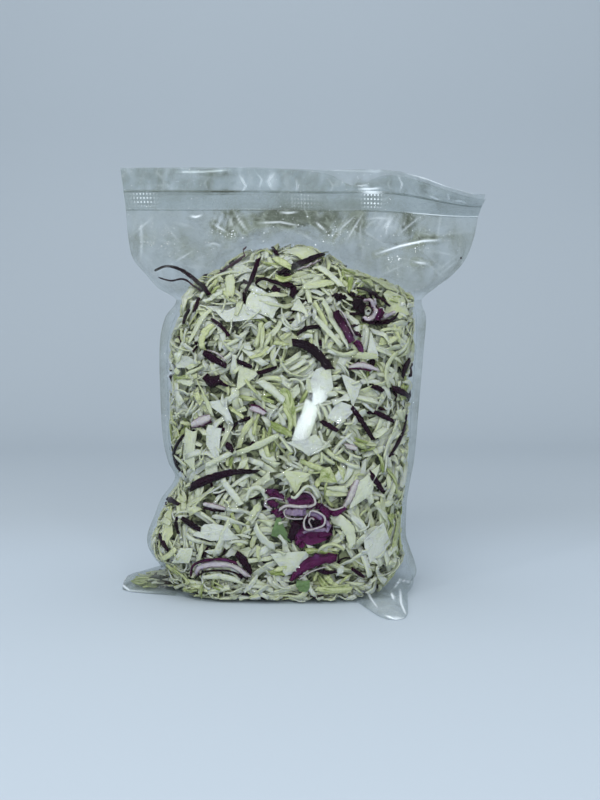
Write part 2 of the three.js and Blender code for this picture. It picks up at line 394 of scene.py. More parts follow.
def walk(heap, start, heading, long, bend, steps):
    """A path over the heap's surface: points and outward normals, from one end to the other."""
    spot, normal = heap.nearest(start)
    side = unit(np.cross(normal, [0.0, 0.31, 0.95]))
    ahead = np.cross(side, normal)
    ahead = side * math.cos(heading) + ahead * math.sin(heading)
    stride = long / steps
    points, normals = [spot], [normal]
    for _ in range(steps):
        turn = bend * stride
        ahead = ahead * math.cos(turn) + np.cross(normal, ahead) * math.sin(turn)
        spot, normal = heap.nearest(points[-1] + ahead * stride)
        ahead = unit(ahead - normal * np.dot(ahead, normal))
        points.append(spot)
        normals.append(normal)
    return np.array(points), np.array(normals)


def eased(heights, floor):
    """Heights smoothed along a piece without going below what lies under it."""
    for _ in range(3):
        padded = np.concatenate([[heights[0] - END_DROP], heights, [heights[-1] - END_DROP]])
        heights = np.maximum(floor, (padded[:-2] + 2 * padded[1:-1] + padded[2:]) / 4)
    return heights


class Ribbons:
    """Collects strips of one kind and makes them one mesh. A strip has the same number of stations and
    of corners as every other of its kind, so that the mesh is built in a few array steps."""

    # Corners of the section, in half widths and half thicknesses.
    SECTION = np.array(
        [(-1, 0.35), (-0.80, 0.95), (0, 1), (0.80, 0.95), (1, 0.35), (0.84, -0.9), (0, -1), (-0.84, -0.9)]
    )

    def __init__(self, steps):
        self.steps = steps
        self.middles, self.sides, self.lifts, self.marks, self.arches = [], [], [], [], []

    def add(self, middle, side, lift, mark, arch=0.0):
        self.middles.append(middle)
        self.sides.append(side)
        self.lifts.append(lift)
        self.marks.append(mark)
        self.arches.append(arch)

    def mesh(self, name, proud=PROUD):
        middle, side, lift = (np.array(a) for a in (self.middles, self.sides, self.lifts))
        count, stations = middle.shape[:2]
        corners = len(self.SECTION)
        across = self.SECTION[None, :, 0]
        raised = self.SECTION[None, :, 1] + np.array(self.arches)[:, None] * (0.5 - across**2)
        points = (
            middle[:, :, None]
            + side[:, :, None] * across[:, None, :, None]
            + lift[:, :, None] * raised[:, None, :, None]
        )
        index = np.arange(stations * corners).reshape(stations, corners)
        around = np.roll(index, -1, axis=1)
        body = np.stack([index[:-1], index[1:], around[1:], around[:-1]], axis=-1).reshape(-1, 4)
        cap = np.array([(0, 1, 2, 3), (0, 3, 4, 7), (4, 5, 6, 7)])
        one = np.concatenate([body, index[0][cap], index[-1][cap[:, ::-1]]])
        quads = (one[None] + (np.arange(count) * stations * corners)[:, None, None]).reshape(-1, 4)
        mark = np.zeros((count, stations, corners, 4), np.float32)
        mark[..., 0] = np.array(self.marks)[:, None, None]
        mark[..., 1] = np.linspace(0, 1, stations)[None, :, None]
        mark[..., 2] = (self.SECTION[:, 0] * 0.5 + 0.5)[None, None]
        mark[..., 3] = 1
        return joined_mesh(name, points.reshape(-1, 3), quads, mark.reshape(-1, 4), proud)


def held_in(points, proud):
    """Presses back any point that would stand out of the film, or too proud of the heap's free top."""
    tree = packing().heap.tree
    held = points.copy()
    for i, point in enumerate(points):
        spot, normal, _, _ = tree.find_nearest(Vector(point))
        out = np.dot(point - np.array(spot), normal)
        most = HELD + proud * float(smooth(NECK - 0.004, NECK + 0.012, point[2]))
        if out > most:
            held[i] -= (out - most) * np.array(normal)
    held[:, 2] = np.maximum(held[:, 2], HELD)
    return held


def joined_mesh(name, points, quads, mark, proud=PROUD, sharp=None):
    """An object made from arrays of points and four-sided faces, with a colour mark at each point. It is
    held in the film unless proud is None, and sharp says at which points its edges are sharp."""
    points = points if proud is None else held_in(points, proud)
    mesh = bpy.data.meshes.new(name)
    mesh.vertices.add(len(points))
    mesh.vertices.foreach_set("co", (points + SHIFT).astype(np.float32).ravel())
    mesh.loops.add(quads.size)
    mesh.loops.foreach_set("vertex_index", quads.astype(np.int32).ravel())
    mesh.polygons.add(len(quads))
    mesh.polygons.foreach_set("loop_start", np.arange(0, quads.size, 4, dtype=np.int32))
    mesh.polygons.foreach_set("use_smooth", np.ones(len(quads), bool))
    mesh.update(calc_edges=True)
    mesh.validate()
    if sharp is not None:
        ends = np.empty(len(mesh.edges) * 2, np.int32)
        mesh.edges.foreach_get("vertices", ends)
        mesh.edges.foreach_set("use_edge_sharp", sharp[ends.reshape(-1, 2)].all(axis=1))
    layer = mesh.color_attributes.new(MARK, "FLOAT_COLOR", "POINT")
    layer.data.foreach_set("color", mark.astype(np.float32).ravel())
    piece = bpy.data.objects.new(name, mesh)
    bpy.context.scene.collection.objects.link(piece)
    return piece


# ---------------------------------------------------------------- pieces placed one by one

# Strips against the front of the film, the uppermost first: finish, path as places in the camera's frame,
# widths along it and thickness in millimetres, and whether it hangs free of the heap.
PLACED = (
    # The crown of the heap. The two that hang free are in the header.
    ("red", ((155, 269), (166, 265), (179, 268), (191, 276), (201, 284), (208, 294)),
     (1.6, 2.8, 3.0, 3.6), 1.4),
    ("red", ((158, 277), (170, 280), (181, 278), (190, 282), (200, 290)), (0.8, 1.4, 1.8), 1.2),
    ("purple", ((246, 246), (239, 252), (230, 261), (219, 273)), (1.0, 2.8, 2.4, 1.2), 0.9, True),
    ("purple", ((239, 253), (231, 257), (225, 261), (221, 268)), (1.6, 4.6, 4.2, 1.6), 0.7, True),
    ("red", ((258, 258), (255, 268), (251, 279), (245, 291)), (3.0, 3.4, 1.8), 1.4),
    ("green", ((256, 253), (262, 247), (272, 253)), (1.4, 1.6, 1.4), 0.9),
    ("green", ((274, 257), (283, 262), (291, 267)), (3.4, 5.4, 3.4), 0.9),
    ("green", ((275, 276), (283, 279), (292, 277)), (3.6, 4.0, 3.0), 0.9),
    ("red", ((272, 246), (275, 250), (278, 254)), (1.8, 3.2, 1.8), 1.2),
    ("red", ((279, 272), (290, 266), (301, 262), (313, 257), (325, 253)), (1.4, 4.2, 4.6, 4.4, 2.0), 1.8),
    ("mauve", ((298, 267), (310, 263), (322, 257)), (0.8, 1.6, 1.0), 1.3),
    ("red", ((277, 269), (284, 270), (291, 273)), (2.4, 3.2, 2.0), 1.2),
    # A dark arch and a hook under the crown.
    ("red", ((255, 283), (262, 278), (275, 281), (291, 286)), (1.4, 2.6, 2.6), 1.3),
    ("red", ((284, 280), (291, 284), (294, 290), (291, 297)), (2.6, 4.4, 3.4), 1.5),
    # The folded ring with its pale cut edge, near the top right, and an oval beside it.
    ("red", ((357, 287), (366, 289), (375, 294)), (0.8, 2.0, 1.8), 1.2),
    ("red", ((368, 288), (376, 292), (384, 299), (391, 306)), (1.6, 3.2, 2.2, 0.8), 1.3),
    ("red", ((364, 313), (364, 308), (367, 305), (371, 307), (372, 311), (370, 315)), (0.5, 0.8), 1.6),
    ("red", ((367, 311), (368, 309), (370, 310)), (0.5, 0.9, 0.5), 1.5),
    ("white", ((365, 311), (368, 310), (371, 310)), (3.0, 5.2, 3.0), 1.3),
    ("mauve", ((364, 299), (371, 300), (376, 307), (375, 314), (368, 318), (363, 314)),
     (2.0, 3.0, 3.4, 2.0), 1.5),
    ("red", ((353, 300), (357, 303), (363, 307)), (3.0, 8.4, 6.4), 1.4),
    ("red", ((354, 297), (362, 296), (372, 298)), (1.2, 1.8, 2.8), 1.5),
    ("mauve", ((375, 298), (378, 302)), (2.2, 2.2), 1.2),
    ("purple", ((373, 297), (380, 303), (382, 311), (379, 320)), (5.0, 6.6, 7.0, 5.0), 1.5),
    ("white", ((384, 304), (388, 308), (386, 314)), (2.0, 4.0, 2.0), 1.0),
    ("red", ((362, 315), (369, 320), (377, 322), (386, 321)), (1.4, 3.0, 3.0, 2.0), 1.4),
    ("red", ((383, 322), (390, 321), (396, 317), (399, 312)), (2.4, 2.8, 1.8, 0.8), 1.3),
    ("mauve", ((384, 319), (391, 314), (397, 311)), (2.0, 3.6, 1.6), 1.1),
    ("red", ((334, 294), (340, 297), (346, 299)), (3.4, 5.6, 3.4), 1.5),
    # The slash below the ring.
    ("mauve", ((341, 310), (346, 318), (351, 328), (355, 336)), (0.5, 0.8, 0.6), 1.4),
    ("purple", ((337, 310), (341, 319), (347, 330), (352, 342)), (5.0, 6.2, 6.0, 5.0), 1.8),
    ("red", ((352, 330), (357, 333), (362, 337)), (3.0, 3.6, 1.6), 1.3),
    ("purple", ((356, 341), (360, 346), (362, 352)), (3.4, 4.6, 3.2), 1.5),
    # The bent fold above the middle.
    ("red", ((297, 335), (303, 330), (312, 327), (320, 327)), (1.8, 3.0, 2.4), 1.3),
    ("red", ((292, 342), (305, 345), (317, 353), (330, 369)), (4.2, 5.6, 6.6, 5.0), 2.0),
    ("white", ((299, 340), (306, 336), (313, 336)), (2.0, 3.2, 2.0), 1.0),
    # Hooks, a fold and a lump at the upper left.
    ("red", ((199, 297), (196, 304), (193, 311)), (2.0, 3.2, 2.0), 1.2),
    ("red", ((188, 309), (184, 316), (182, 323)), (2.6, 4.0, 2.6), 1.3),
    ("red", ((211, 318), (221, 326), (229, 336)), (1.6, 2.6, 2.0), 1.2),
    ("red", ((203, 352), (212, 358), (226, 366)), (3.6, 5.2, 3.4), 1.6),
    ("mauve", ((206, 350), (216, 353), (225, 361)), (1.0, 1.6, 1.0), 1.2),
    ("red", ((204, 376), (211, 382), (219, 379)), (5.6, 8.0, 6.0), 1.9),
    ("red", ((216, 381), (222, 384), (228, 386)), (4.0, 2.6, 1.2), 1.3),
    # Dashes across the middle, and a pointed blade.
    ("red", ((257, 373), (266, 371), (277, 367)), (2.4, 3.4, 1.8), 1.3),
    ("red", ((237, 361), (244, 364), (252, 367)), (2.2, 3.4, 1.8), 1.2),
    ("mauve", ((349, 367), (362, 365), (379, 370)), (1.4, 4.6, 1.4), 1.2),
    ("purple", ((350, 369), (360, 368), (372, 371)), (1.0, 2.4, 1.0), 1.2),
    # Blades, dashes and bars of the right half.
    ("red", ((411, 360), (407, 367), (404, 377)), (3.0, 4.8, 2.4), 1.5),
    ("red", ((372, 386), (378, 388), (384, 391)), (2.6, 4.0, 2.2), 1.3),
    ("red", ((394, 388), (403, 392), (413, 399)), (3.2, 4.4, 3.2), 1.5),
    ("red", ((375, 412), (384, 416), (394, 421)), (2.6, 4.0, 2.6), 1.3),
    ("red", ((352, 407), (362, 421), (374, 440)), (2.6, 3.8, 2.6), 1.5),
    ("red", ((321, 421), (329, 426), (338, 431)), (2.6, 4.0, 2.4), 1.3),
    ("mauve", ((346, 446), (351, 447), (357, 449)), (2.8, 4.0, 2.6), 1.2),
    ("red", ((408, 415), (405, 430), (398, 445), (390, 457)), (1.6, 2.8, 2.6, 1.4), 1.2),
    # Slices below the middle, towards the left.
    ("mauve", ((191, 425), (200, 421), (210, 417)), (4.2, 6.4, 4.0), 1.4),
    ("purple", ((190, 428), (200, 426), (210, 422)), (1.0, 1.6, 1.0), 1.4),
    ("red", ((226, 443), (229, 447), (233, 452)), (2.6, 5.0, 2.0), 1.3),
    ("mauve", ((250, 408), (257, 410), (265, 414)), (2.8, 4.4, 2.4), 1.3),
    ("purple", ((250, 405), (258, 407), (266, 412)), (1.2, 2.0, 1.0), 1.3),
    ("green", ((271, 424), (280, 429), (292, 435)), (3.6, 5.6, 3.0), 1.1),
    ("red", ((183, 435), (175, 446), (173, 459), (179, 471)), (1.4, 2.6, 2.6, 1.6), 1.2),
    # The long bar at the lower left, and the small pieces round it.
    ("red", ((190, 487), (207, 480), (225, 474), (240, 472), (258, 472)), (6.0, 5.6, 4.2, 2.4), 1.8),
    ("red", ((162, 495), (169, 499), (178, 504)), (2.4, 4.0, 2.4), 1.3),
    ("mauve", ((203, 504), (213, 506), (225, 509)), (2.4, 4.0, 2.0), 1.3),
    ("red", ((203, 508), (213, 510), (224, 512)), (1.6, 2.6, 1.2), 1.3),
    ("red", ((181, 518), (190, 524), (200, 530)), (2.8, 4.2, 2.6), 1.4),
    ("red", ((176, 517), (175, 525), (178, 534)), (1.6, 2.8, 1.6), 1.2),
    ("red", ((158, 535), (162, 543), (167, 551)), (2.6, 3.8, 2.2), 1.3),
    # The arc at the lower left, with a pale middle and a purple rim.
    ("purple", ((190, 577), (192, 567), (200, 562), (212, 560), (224, 560), (237, 564)),
     (1.4, 1.8, 1.8, 2.2), 1.6),
    ("red", ((193, 580), (203, 573), (216, 571), (231, 572), (248, 580)), (0.5, 0.7, 0.5), 1.5),
    ("mauve", ((193, 577), (198, 569), (207, 566), (220, 565), (233, 567), (249, 578)),
     (3.4, 4.6, 4.6, 2.8), 1.2),
    ("red", ((236, 553), (243, 561), (251, 576)), (3.0, 6.2, 2.2), 1.5),
    ("white", ((203, 578), (220, 577), (241, 582)), (2.6, 4.6, 3.6), 1.1),
    # The curled piece low on the front: its pale cut edges, then its purple faces.
    ("white", ((291, 497), (295, 498), (300, 493), (306, 487), (312, 488), (318, 497)),
     (1.6, 2.4, 2.2, 1.6), 1.2),
    ("mauve", ((303, 492), (309, 493), (314, 498), (315, 504), (309, 507)), (1.0, 1.6, 2.0), 1.4),
    ("mauve", ((279, 510), (287, 506), (298, 507), (310, 507)), (1.6, 2.6, 2.6, 2.2), 1.5),
    ("mauve", ((309, 517), (311, 511), (319, 513), (325, 518), (324, 525), (318, 528), (311, 530),
     (305, 529), (304, 521), (308, 514)), (1.0, 1.3, 1.4, 1.2, 1.4, 1.0), 1.5),
    ("mauve", ((312, 530), (311, 526), (309, 522), (311, 519), (314, 520)), (1.0, 1.3, 1.3), 1.5),
    ("mauve", ((303, 519), (293, 519), (286, 517), (284, 512), (287, 509)), (0.9, 1.2, 0.9), 1.3),
    ("mauve", ((283, 500), (273, 498), (266, 501), (265, 506), (272, 509)), (0.9, 1.2, 0.9), 1.2),
    ("lilac", ((310, 515), (316, 515), (322, 519)), (2.4, 5.2, 3.0), 1.0),
    ("red", ((306, 525), (313, 524), (321, 523)), (3.4, 5.4, 3.4), 1.0),
    ("red", ((307, 519), (307, 523), (307, 527)), (2.0, 3.0, 2.0), 1.0),
    ("lilac", ((285, 513), (295, 513), (306, 513)), (4.0, 5.6, 5.0), 1.1),
    ("purple", ((288, 502), (296, 501), (304, 500), (312, 502)), (4.6, 7.0, 9.0, 6.0), 1.2),
    ("purple", ((267, 503), (272, 504), (278, 506)), (3.8, 5.6, 3.4), 1.2),
    ("purple", ((266, 491), (274, 494), (284, 499)), (3.4, 6.0, 3.6), 1.2),
    ("purple", ((274, 511), (279, 514), (284, 518)), (4.4, 6.0, 3.4), 1.2),
    ("lilac", ((303, 533), (313, 531), (326, 530)), (1.6, 3.2, 3.0), 1.2),
    ("lilac", ((325, 521), (329, 526), (327, 533)), (1.6, 3.4, 1.8), 1.2),
    ("purple", ((318, 505), (324, 511), (330, 520)), (3.6, 4.6, 3.6), 1.3),
    ("red", ((298, 521), (294, 530), (290, 540)), (7.0, 6.4, 3.8), 1.3),
    ("purple", ((302, 536), (316, 536), (330, 534)), (4.0, 7.4, 5.4), 1.3),
    ("red", ((332, 526), (331, 534), (328, 541)), (2.0, 3.4, 2.2), 1.2),
    ("purple", ((297, 539), (299, 543), (304, 547)), (3.6, 5.0, 3.0), 1.3),
    # Beside the curled piece.
    ("mauve", ((325, 507), (334, 510), (344, 507)), (0.9, 1.3, 0.9), 1.3),
    ("purple", ((327, 511), (336, 514), (346, 508)), (2.6, 4.6, 2.8), 1.2),
    ("mauve", ((358, 480), (354, 489), (350, 499), (345, 509)), (3.0, 4.8, 4.4, 2.6), 1.4),
    ("red", ((371, 474), (377, 482), (384, 492)), (3.0, 4.6, 2.6), 1.4),
    # The blade at the foot, and bits beside it.
    ("mauve", ((299, 580), (311, 572), (326, 567)), (0.6, 1.0, 0.6), 1.3),
    ("purple", ((291, 581), (298, 573), (308, 565), (321, 560), (337, 558)), (2.2, 5.8, 7.2, 7.4, 4.6),
     1.7),
    ("red", ((290, 582), (294, 578), (298, 574)), (2.2, 3.6, 4.4), 1.2),
    ("red", ((317, 571), (325, 573), (337, 572)), (1.8, 3.2, 1.6), 1.2),
    ("red", ((352, 569), (358, 573), (365, 578)), (1.8, 3.0, 1.6), 1.2),
    # Pale strips of the crown.
    ("white", ((204, 284), (216, 275), (229, 271), (242, 271)), (2.4, 3.2, 2.6), 1.3),
    ("white", ((203, 301), (212, 297), (222, 291)), (2.8, 3.8, 2.8), 1.3),
    ("pale", ((229, 273), (230, 286), (229, 299)), (5.4, 7.0, 5.4), 1.1),
    ("white", ((315, 263), (328, 272), (342, 286)), (4.6, 5.4, 4.2), 1.4),
    ("pale", ((303, 286), (318, 284), (335, 280)), (4.2, 5.4, 4.2), 1.3),
    # Pale strips of the body.
    ("white", ((323, 300), (334, 318), (349, 344)), (3.6, 4.6, 4.0), 1.6),
    ("white", ((315, 317), (328, 331), (343, 347)), (3.0, 4.0, 3.0), 1.4),
    ("white", ((259, 381), (271, 389), (284, 401)), (4.4, 5.4, 4.4), 1.4),
    ("white", ((205, 466), (219, 459), (235, 451)), (3.2, 4.2, 3.0), 1.4),
    ("pale", ((235, 454), (256, 446), (279, 435)), (3.2, 4.6, 3.2), 1.4),
    ("white", ((221, 479), (230, 491), (241, 505)), (4.0, 5.2, 4.0), 1.5),
    ("white", ((246, 502), (250, 490), (259, 488), (265, 496), (269, 511)), (2.4, 3.2, 2.4), 1.3),
    ("white", ((330, 519), (342, 522), (350, 532), (353, 547)), (6.0, 8.4, 8.0, 5.0), 1.4),
    # Pale strips of the left shoulder.
    ("white", ((203, 290), (190, 305), (177, 327)), (2.6, 3.6, 2.4), 1.2),
    ("pale", ((211, 309), (199, 322), (188, 343)), (2.4, 3.4, 2.0), 1.2),
    # Green strips.
    ("green", ((399, 512), (403, 528), (402, 548)), (2.6, 4.0, 2.6), 1.2),
    ("green", ((388, 470), (396, 480), (398, 494)), (2.0, 3.0, 2.0), 1.2),
    ("green", ((316, 589), (334, 591), (352, 589)), (3.4, 4.4, 3.0), 1.2),
    ("green", ((284, 408), (291, 421), (287, 437)), (2.4, 4.0, 2.4), 1.2),
    ("green", ((213, 324), (205, 331), (201, 340), (202, 350)), (3.6, 5.6, 5.0, 3.0), 1.1),
)

# Leaf pieces against the front of the film: finish, place of the middle in the same frame, size in
# millimetres across and up, and turn in degrees.
PLACED_LEAVES = (
    # A round green scrap, and the leaf of the curled piece.
    ("green leaf", (280, 530), (12, 17), 8),
    ("purple", (304, 506), (28, 15), -4),
    ("purple", (313, 530), (26, 19), 8),
    # Broad leaves of the upper part.
    ("white", (260, 302), (24, 24), 10),
    ("white", (238, 313), (32, 11), -6),
    ("pale", (398, 302), (18, 20), 30),
    ("white", (302, 306), (13, 15), 8),
    ("pale", (304, 251), (26, 14), 8),
    ("white", (241, 268), (17, 15), 0),
    # The middle and the left side.
    ("white", (321, 384), (15, 24), -32),
    ("white", (352, 388), (15, 21), 20),
    ("white", (371, 346), (12, 19), 20),
    ("pale", (242, 378), (18, 14), 0),
    ("white", (220, 409), (15, 20), 12),
    ("white", (214, 444), (12, 25), -8),
    ("pale", (189, 450), (12, 28), 6),
    # The lower part.
    ("pale", (165, 530), (11, 27), 10),
    ("white", (183, 556), (13, 13), 0),
    ("white", (213, 532), (25, 11), -4),
    ("white", (366, 486), (12, 27), -8),
    ("pale", (296, 478), (18, 19), 10),
    ("white", (309, 445), (27, 13), -5),
    ("white", (340, 413), (20, 12), 5),
    ("white", (307, 419), (12, 36), -24),
    ("white", (377, 544), (17, 26), -30),
    ("white", (294, 565), (20, 23), 10),
    # Green leaf low on the front, along the base and at the right edge.
    ("green", (328, 476), (11, 11), 20),
    ("green", (341, 472), (6, 10), 10),
    ("green leaf", (303, 587), (9, 8), 0),
    ("green", (337, 590), (20, 7), 0),
    ("green", (397, 535), (8, 26), 0),
    # The right shoulder.
    ("pale", (385, 282), (18, 11), -38),
    ("pale", (362, 269), (16, 8), -28),
    ("green", (369, 281), (8, 7), 20),
    ("green", (350, 271), (11, 6), -20),
    # The green patch of the middle.
    ("green", (289, 408), (8, 26), 6),
)

# Where most of the yellow-green pieces lie: middle and spread in the same frame.
GREEN_SPOTS = (
    ((397, 535), (8, 26)),
    ((338, 588), (22, 6)),
    ((368, 287), (26, 14)),
    ((289, 409), (9, 24)),
    ((264, 400), (12, 40)),
    ((197, 590), (24, 6)),
    ((330, 476), (14, 8)),
    ((266, 352), (16, 22)),
    ((160, 575), (14, 10)),
)

# ---------------------------------------------------------------- the contents, laid layer by layer

FINISHES = ("white", "pale", "green", "green leaf", "red", "purple", "lilac", "mauve")
RIBBON_STEPS = 7
THREAD_STEPS = 6
CHIP_STEPS = 4
PLACED_STEPS = 22
CORNER_SCRAPS = 60
CORNER_ROOT, CORNER_TIP = -0.074, -0.113
CORNER_LONG, CORNER_WIDE, CORNER_HIGH = 0.034, 0.020, 0.0165  # of its scraps: half width at the root
CORNER_MIDDLE = -0.003
CORNER_THICK = 0.0004
WILTED_FROM, WILTED_TO = 0.35, 0.65  # shares of the way to the corner's tip
LEAVES_AFTER = 0.5  # share of the shreds that lie under the placed leaves
LEAF_SIDES = 12
CELLS_ACROSS = (-0.8, 0, 0.8)  # where a strip's height is read across it, in half widths
PLACED_GAP = 0.0003  # between a placed strip and the film or the strip over it
PLACED_ROLL, PLACED_SKEW, LOOSE_SKEW = 0.12, 0.7, 0.5
PLACED_ARCH, LOOSE_ARCH = (-0.4, 1.2), (-1.4, 1.8)  # how far a section is arched, in half thicknesses
LEAF_THICK = 1.0  # of a placed leaf, in millimetres
LEAF_HEIGHT = 0.80  # least height of a placed leaf in the shell of loose shreds, as a share
CURLED, CURLED_SHARE = 2.4, 0.18  # how much more some shreds bend, and how many do
GATHERED_SHARE = 0.6  # of the green pieces that lie at one of the green spots
RED_LONG = 0.010
RED_LONG_HEIGHT, RED_SHORT_HEIGHT = 0.55, 0.85  # highest in the shell at the front, as shares
FACES_FRONT = -0.25  # normals with less of Y than this are at the front
TRIES = 6  # places tried for each shred before it is left out


def by_ring(*values):
    """Three values, for the middle, the inner ring and the outer ring of a leaf piece, point by point."""
    return np.repeat(values, (1, LEAF_SIDES, LEAF_SIDES))


class Leaves:
    """Collects leaf pieces of irregular outline: a middle and two rings on each face."""

    def __init__(self):
        self.tops, self.lifts, self.marks = [], [], []

    def add(self, top, lift, mark):
        self.tops.append(top)
        self.lifts.append(lift)
        self.marks.append(mark)

    def mesh(self, name):
        top, lift = np.array(self.tops), np.array(self.lifts)
        count, one_face = top.shape[:2]
        points = np.concatenate([top + lift, top - lift], axis=1)
        inner = 1 + np.arange(LEAF_SIDES)
        outer = inner + LEAF_SIDES
        after = np.roll(outer, -1)
        fan = [(0, inner[i], inner[i + 1], inner[(i + 2) % LEAF_SIDES]) for i in range(0, LEAF_SIDES, 2)]
        belt = np.stack([inner, outer, after, np.roll(inner, -1)], axis=-1)
        face = np.concatenate([np.array(fan), belt])
        rim = np.stack([outer, outer + one_face, after + one_face, after], axis=-1)
        one = np.concatenate([face, face[:, ::-1] + one_face, rim])
        quads = (one[None] + (np.arange(count) * one_face * 2)[:, None, None]).reshape(-1, 4)
        mark = np.zeros((count, one_face * 2, 4), np.float32)
        mark[..., 0] = np.array(self.marks)[:, None]
        mark[..., 1] = np.tile(0.5 + 0.5 * np.sin(np.arange(one_face) * 1.9), 2)
        mark[..., 2] = 0.5 + 0.28 * np.tile(by_ring(0.0, 0.5, 1.0), 2)
        mark[..., 3] = 1
        sharp = np.zeros((count, one_face * 2), bool)
        sharp[:, outer] = sharp[:, outer + one_face] = True
        return joined_mesh(name, points.reshape(-1, 3), quads, mark.reshape(-1, 4), sharp=sharp.ravel())


class Kind:
    """One kind of shred: its piece, its finish, how many there are and the ranges of their sizes."""

    def __init__(self, name, finish, count, long, wide, thick, bend=20, roll=0.7, steps=RIBBON_STEPS, nest=0,
                 late=0.0):
        self.name, self.finish, self.count = name, finish, count
        self.long, self.wide, self.thick = [[v * MM for v in r] for r in (long, wide, thick)]
        self.bend, self.roll, self.steps, self.nest, self.late = bend, roll, steps, nest, late
        self.strips = Ribbons(steps) if steps else Leaves()


def kinds():
    """What the mix is made of. Sizes in millimetres, bend in radians a metre, roll in radians. No steps
    make a leaf piece, a nest is the most strips of one leaf that lie beside the first, and late kinds lie
    over early ones."""
    return [
        Kind("pale_flakes", "pale", 300, (8, 19), (5, 11), (0.6, 1.1), steps=0),
        Kind("white_flakes", "white", 480, (9, 24), (5, 13), (0.8, 1.4), steps=0, late=0.12),
        Kind("white_shreds", "white", 1450, (13, 32), (2.8, 5.4), (0.9, 1.7), 30, 0.55, nest=3),
        Kind("pale_green_shreds", "pale", 950, (12, 28), (2.6, 5.0), (0.8, 1.5), 34, 0.6, nest=2),
        Kind("green_shreds", "green", 230, (8, 20), (2.0, 4.4), (0.6, 1.2), 34, 0.8, nest=1),
        Kind("red_shreds", "red", 560, (5, 18), (1.8, 4.4), (0.7, 1.5), 34, 0.8),
        Kind("white_chips", "white", 900, (5, 11), (2.2, 4.4), (0.6, 1.3), 30, 0.8, CHIP_STEPS, late=-0.35),
        Kind("pale_chips", "pale", 760, (5, 11), (2.2, 4.4), (0.6, 1.2), 30, 0.8, CHIP_STEPS, late=-0.35),
        Kind("white_threads", "white", 420, (10, 26), (1.0, 2.0), (0.6, 1.2), 80, 0.9, THREAD_STEPS, 2, 0.2),
    ]


def tilted(side, normals, ahead, roll, skew):
    """The directions across a strip and out of its face, rolled by these angles and with skewed ends."""
    cos, sin = np.cos(roll)[:, None], np.sin(roll)[:, None]
    across = side * cos + normals * sin
    across[0] += ahead[0] * skew[0]
    across[-1] += ahead[-1] * skew[1]
    return across, normals * cos - side * sin


def inside_film(point):
    """Where a strip leaves the heap's outline, it goes on inside the film."""
    aim = sight(*point)
    depth = -0.012
    for _ in range(4):
        x, _, z = EYE + aim * ((depth - EYE[1]) / aim[1])
        square, half = along(DEPTHS, SQUARE, z), along(DEPTHS, HALF, z)
        reach = along(EDGES, LEFT if x < 0 else RIGHT, z) - 0.004
        share = min(abs(x) / reach, 0.995)
        depth = -0.6 * half * (1 - share**square) ** (1 / square)
    return EYE + aim * ((depth - EYE[1]) / aim[1])


def leaf_outline(random, half):
    """A leaf piece's middle and two rings, laid flat: a torn shape of a few corners, squeezed and slanted."""
    cuts = random.choice((3, 4, 4, 6))
    turns = (np.arange(cuts) + random.uniform(-0.2, 0.2, cuts) + random.random()) / cuts * 2 * math.pi
    corners = np.stack([np.cos(turns), np.sin(turns)], axis=-1) * random.uniform(1.0, 1.35, (cuts, 1))
    at = np.arange(LEAF_SIDES) * cuts / LEAF_SIDES
    before = at.astype(int)
    on_side = (at - before)[:, None]
    ring = corners[before] * (1 - on_side) + corners[(before + 1) % cuts] * on_side
    ring = ring * half * (1 + 0.05 * random.standard_normal((LEAF_SIDES, 1)))
    ring[:, 0] = ring[:, 0] * (1 + random.uniform(-0.3, 0.3) * ring[:, 1] / half[1])
    ring[:, 0] += ring[:, 1] * random.uniform(-0.3, 0.3)
    return np.concatenate([[[0, 0]], ring * 0.55, ring])


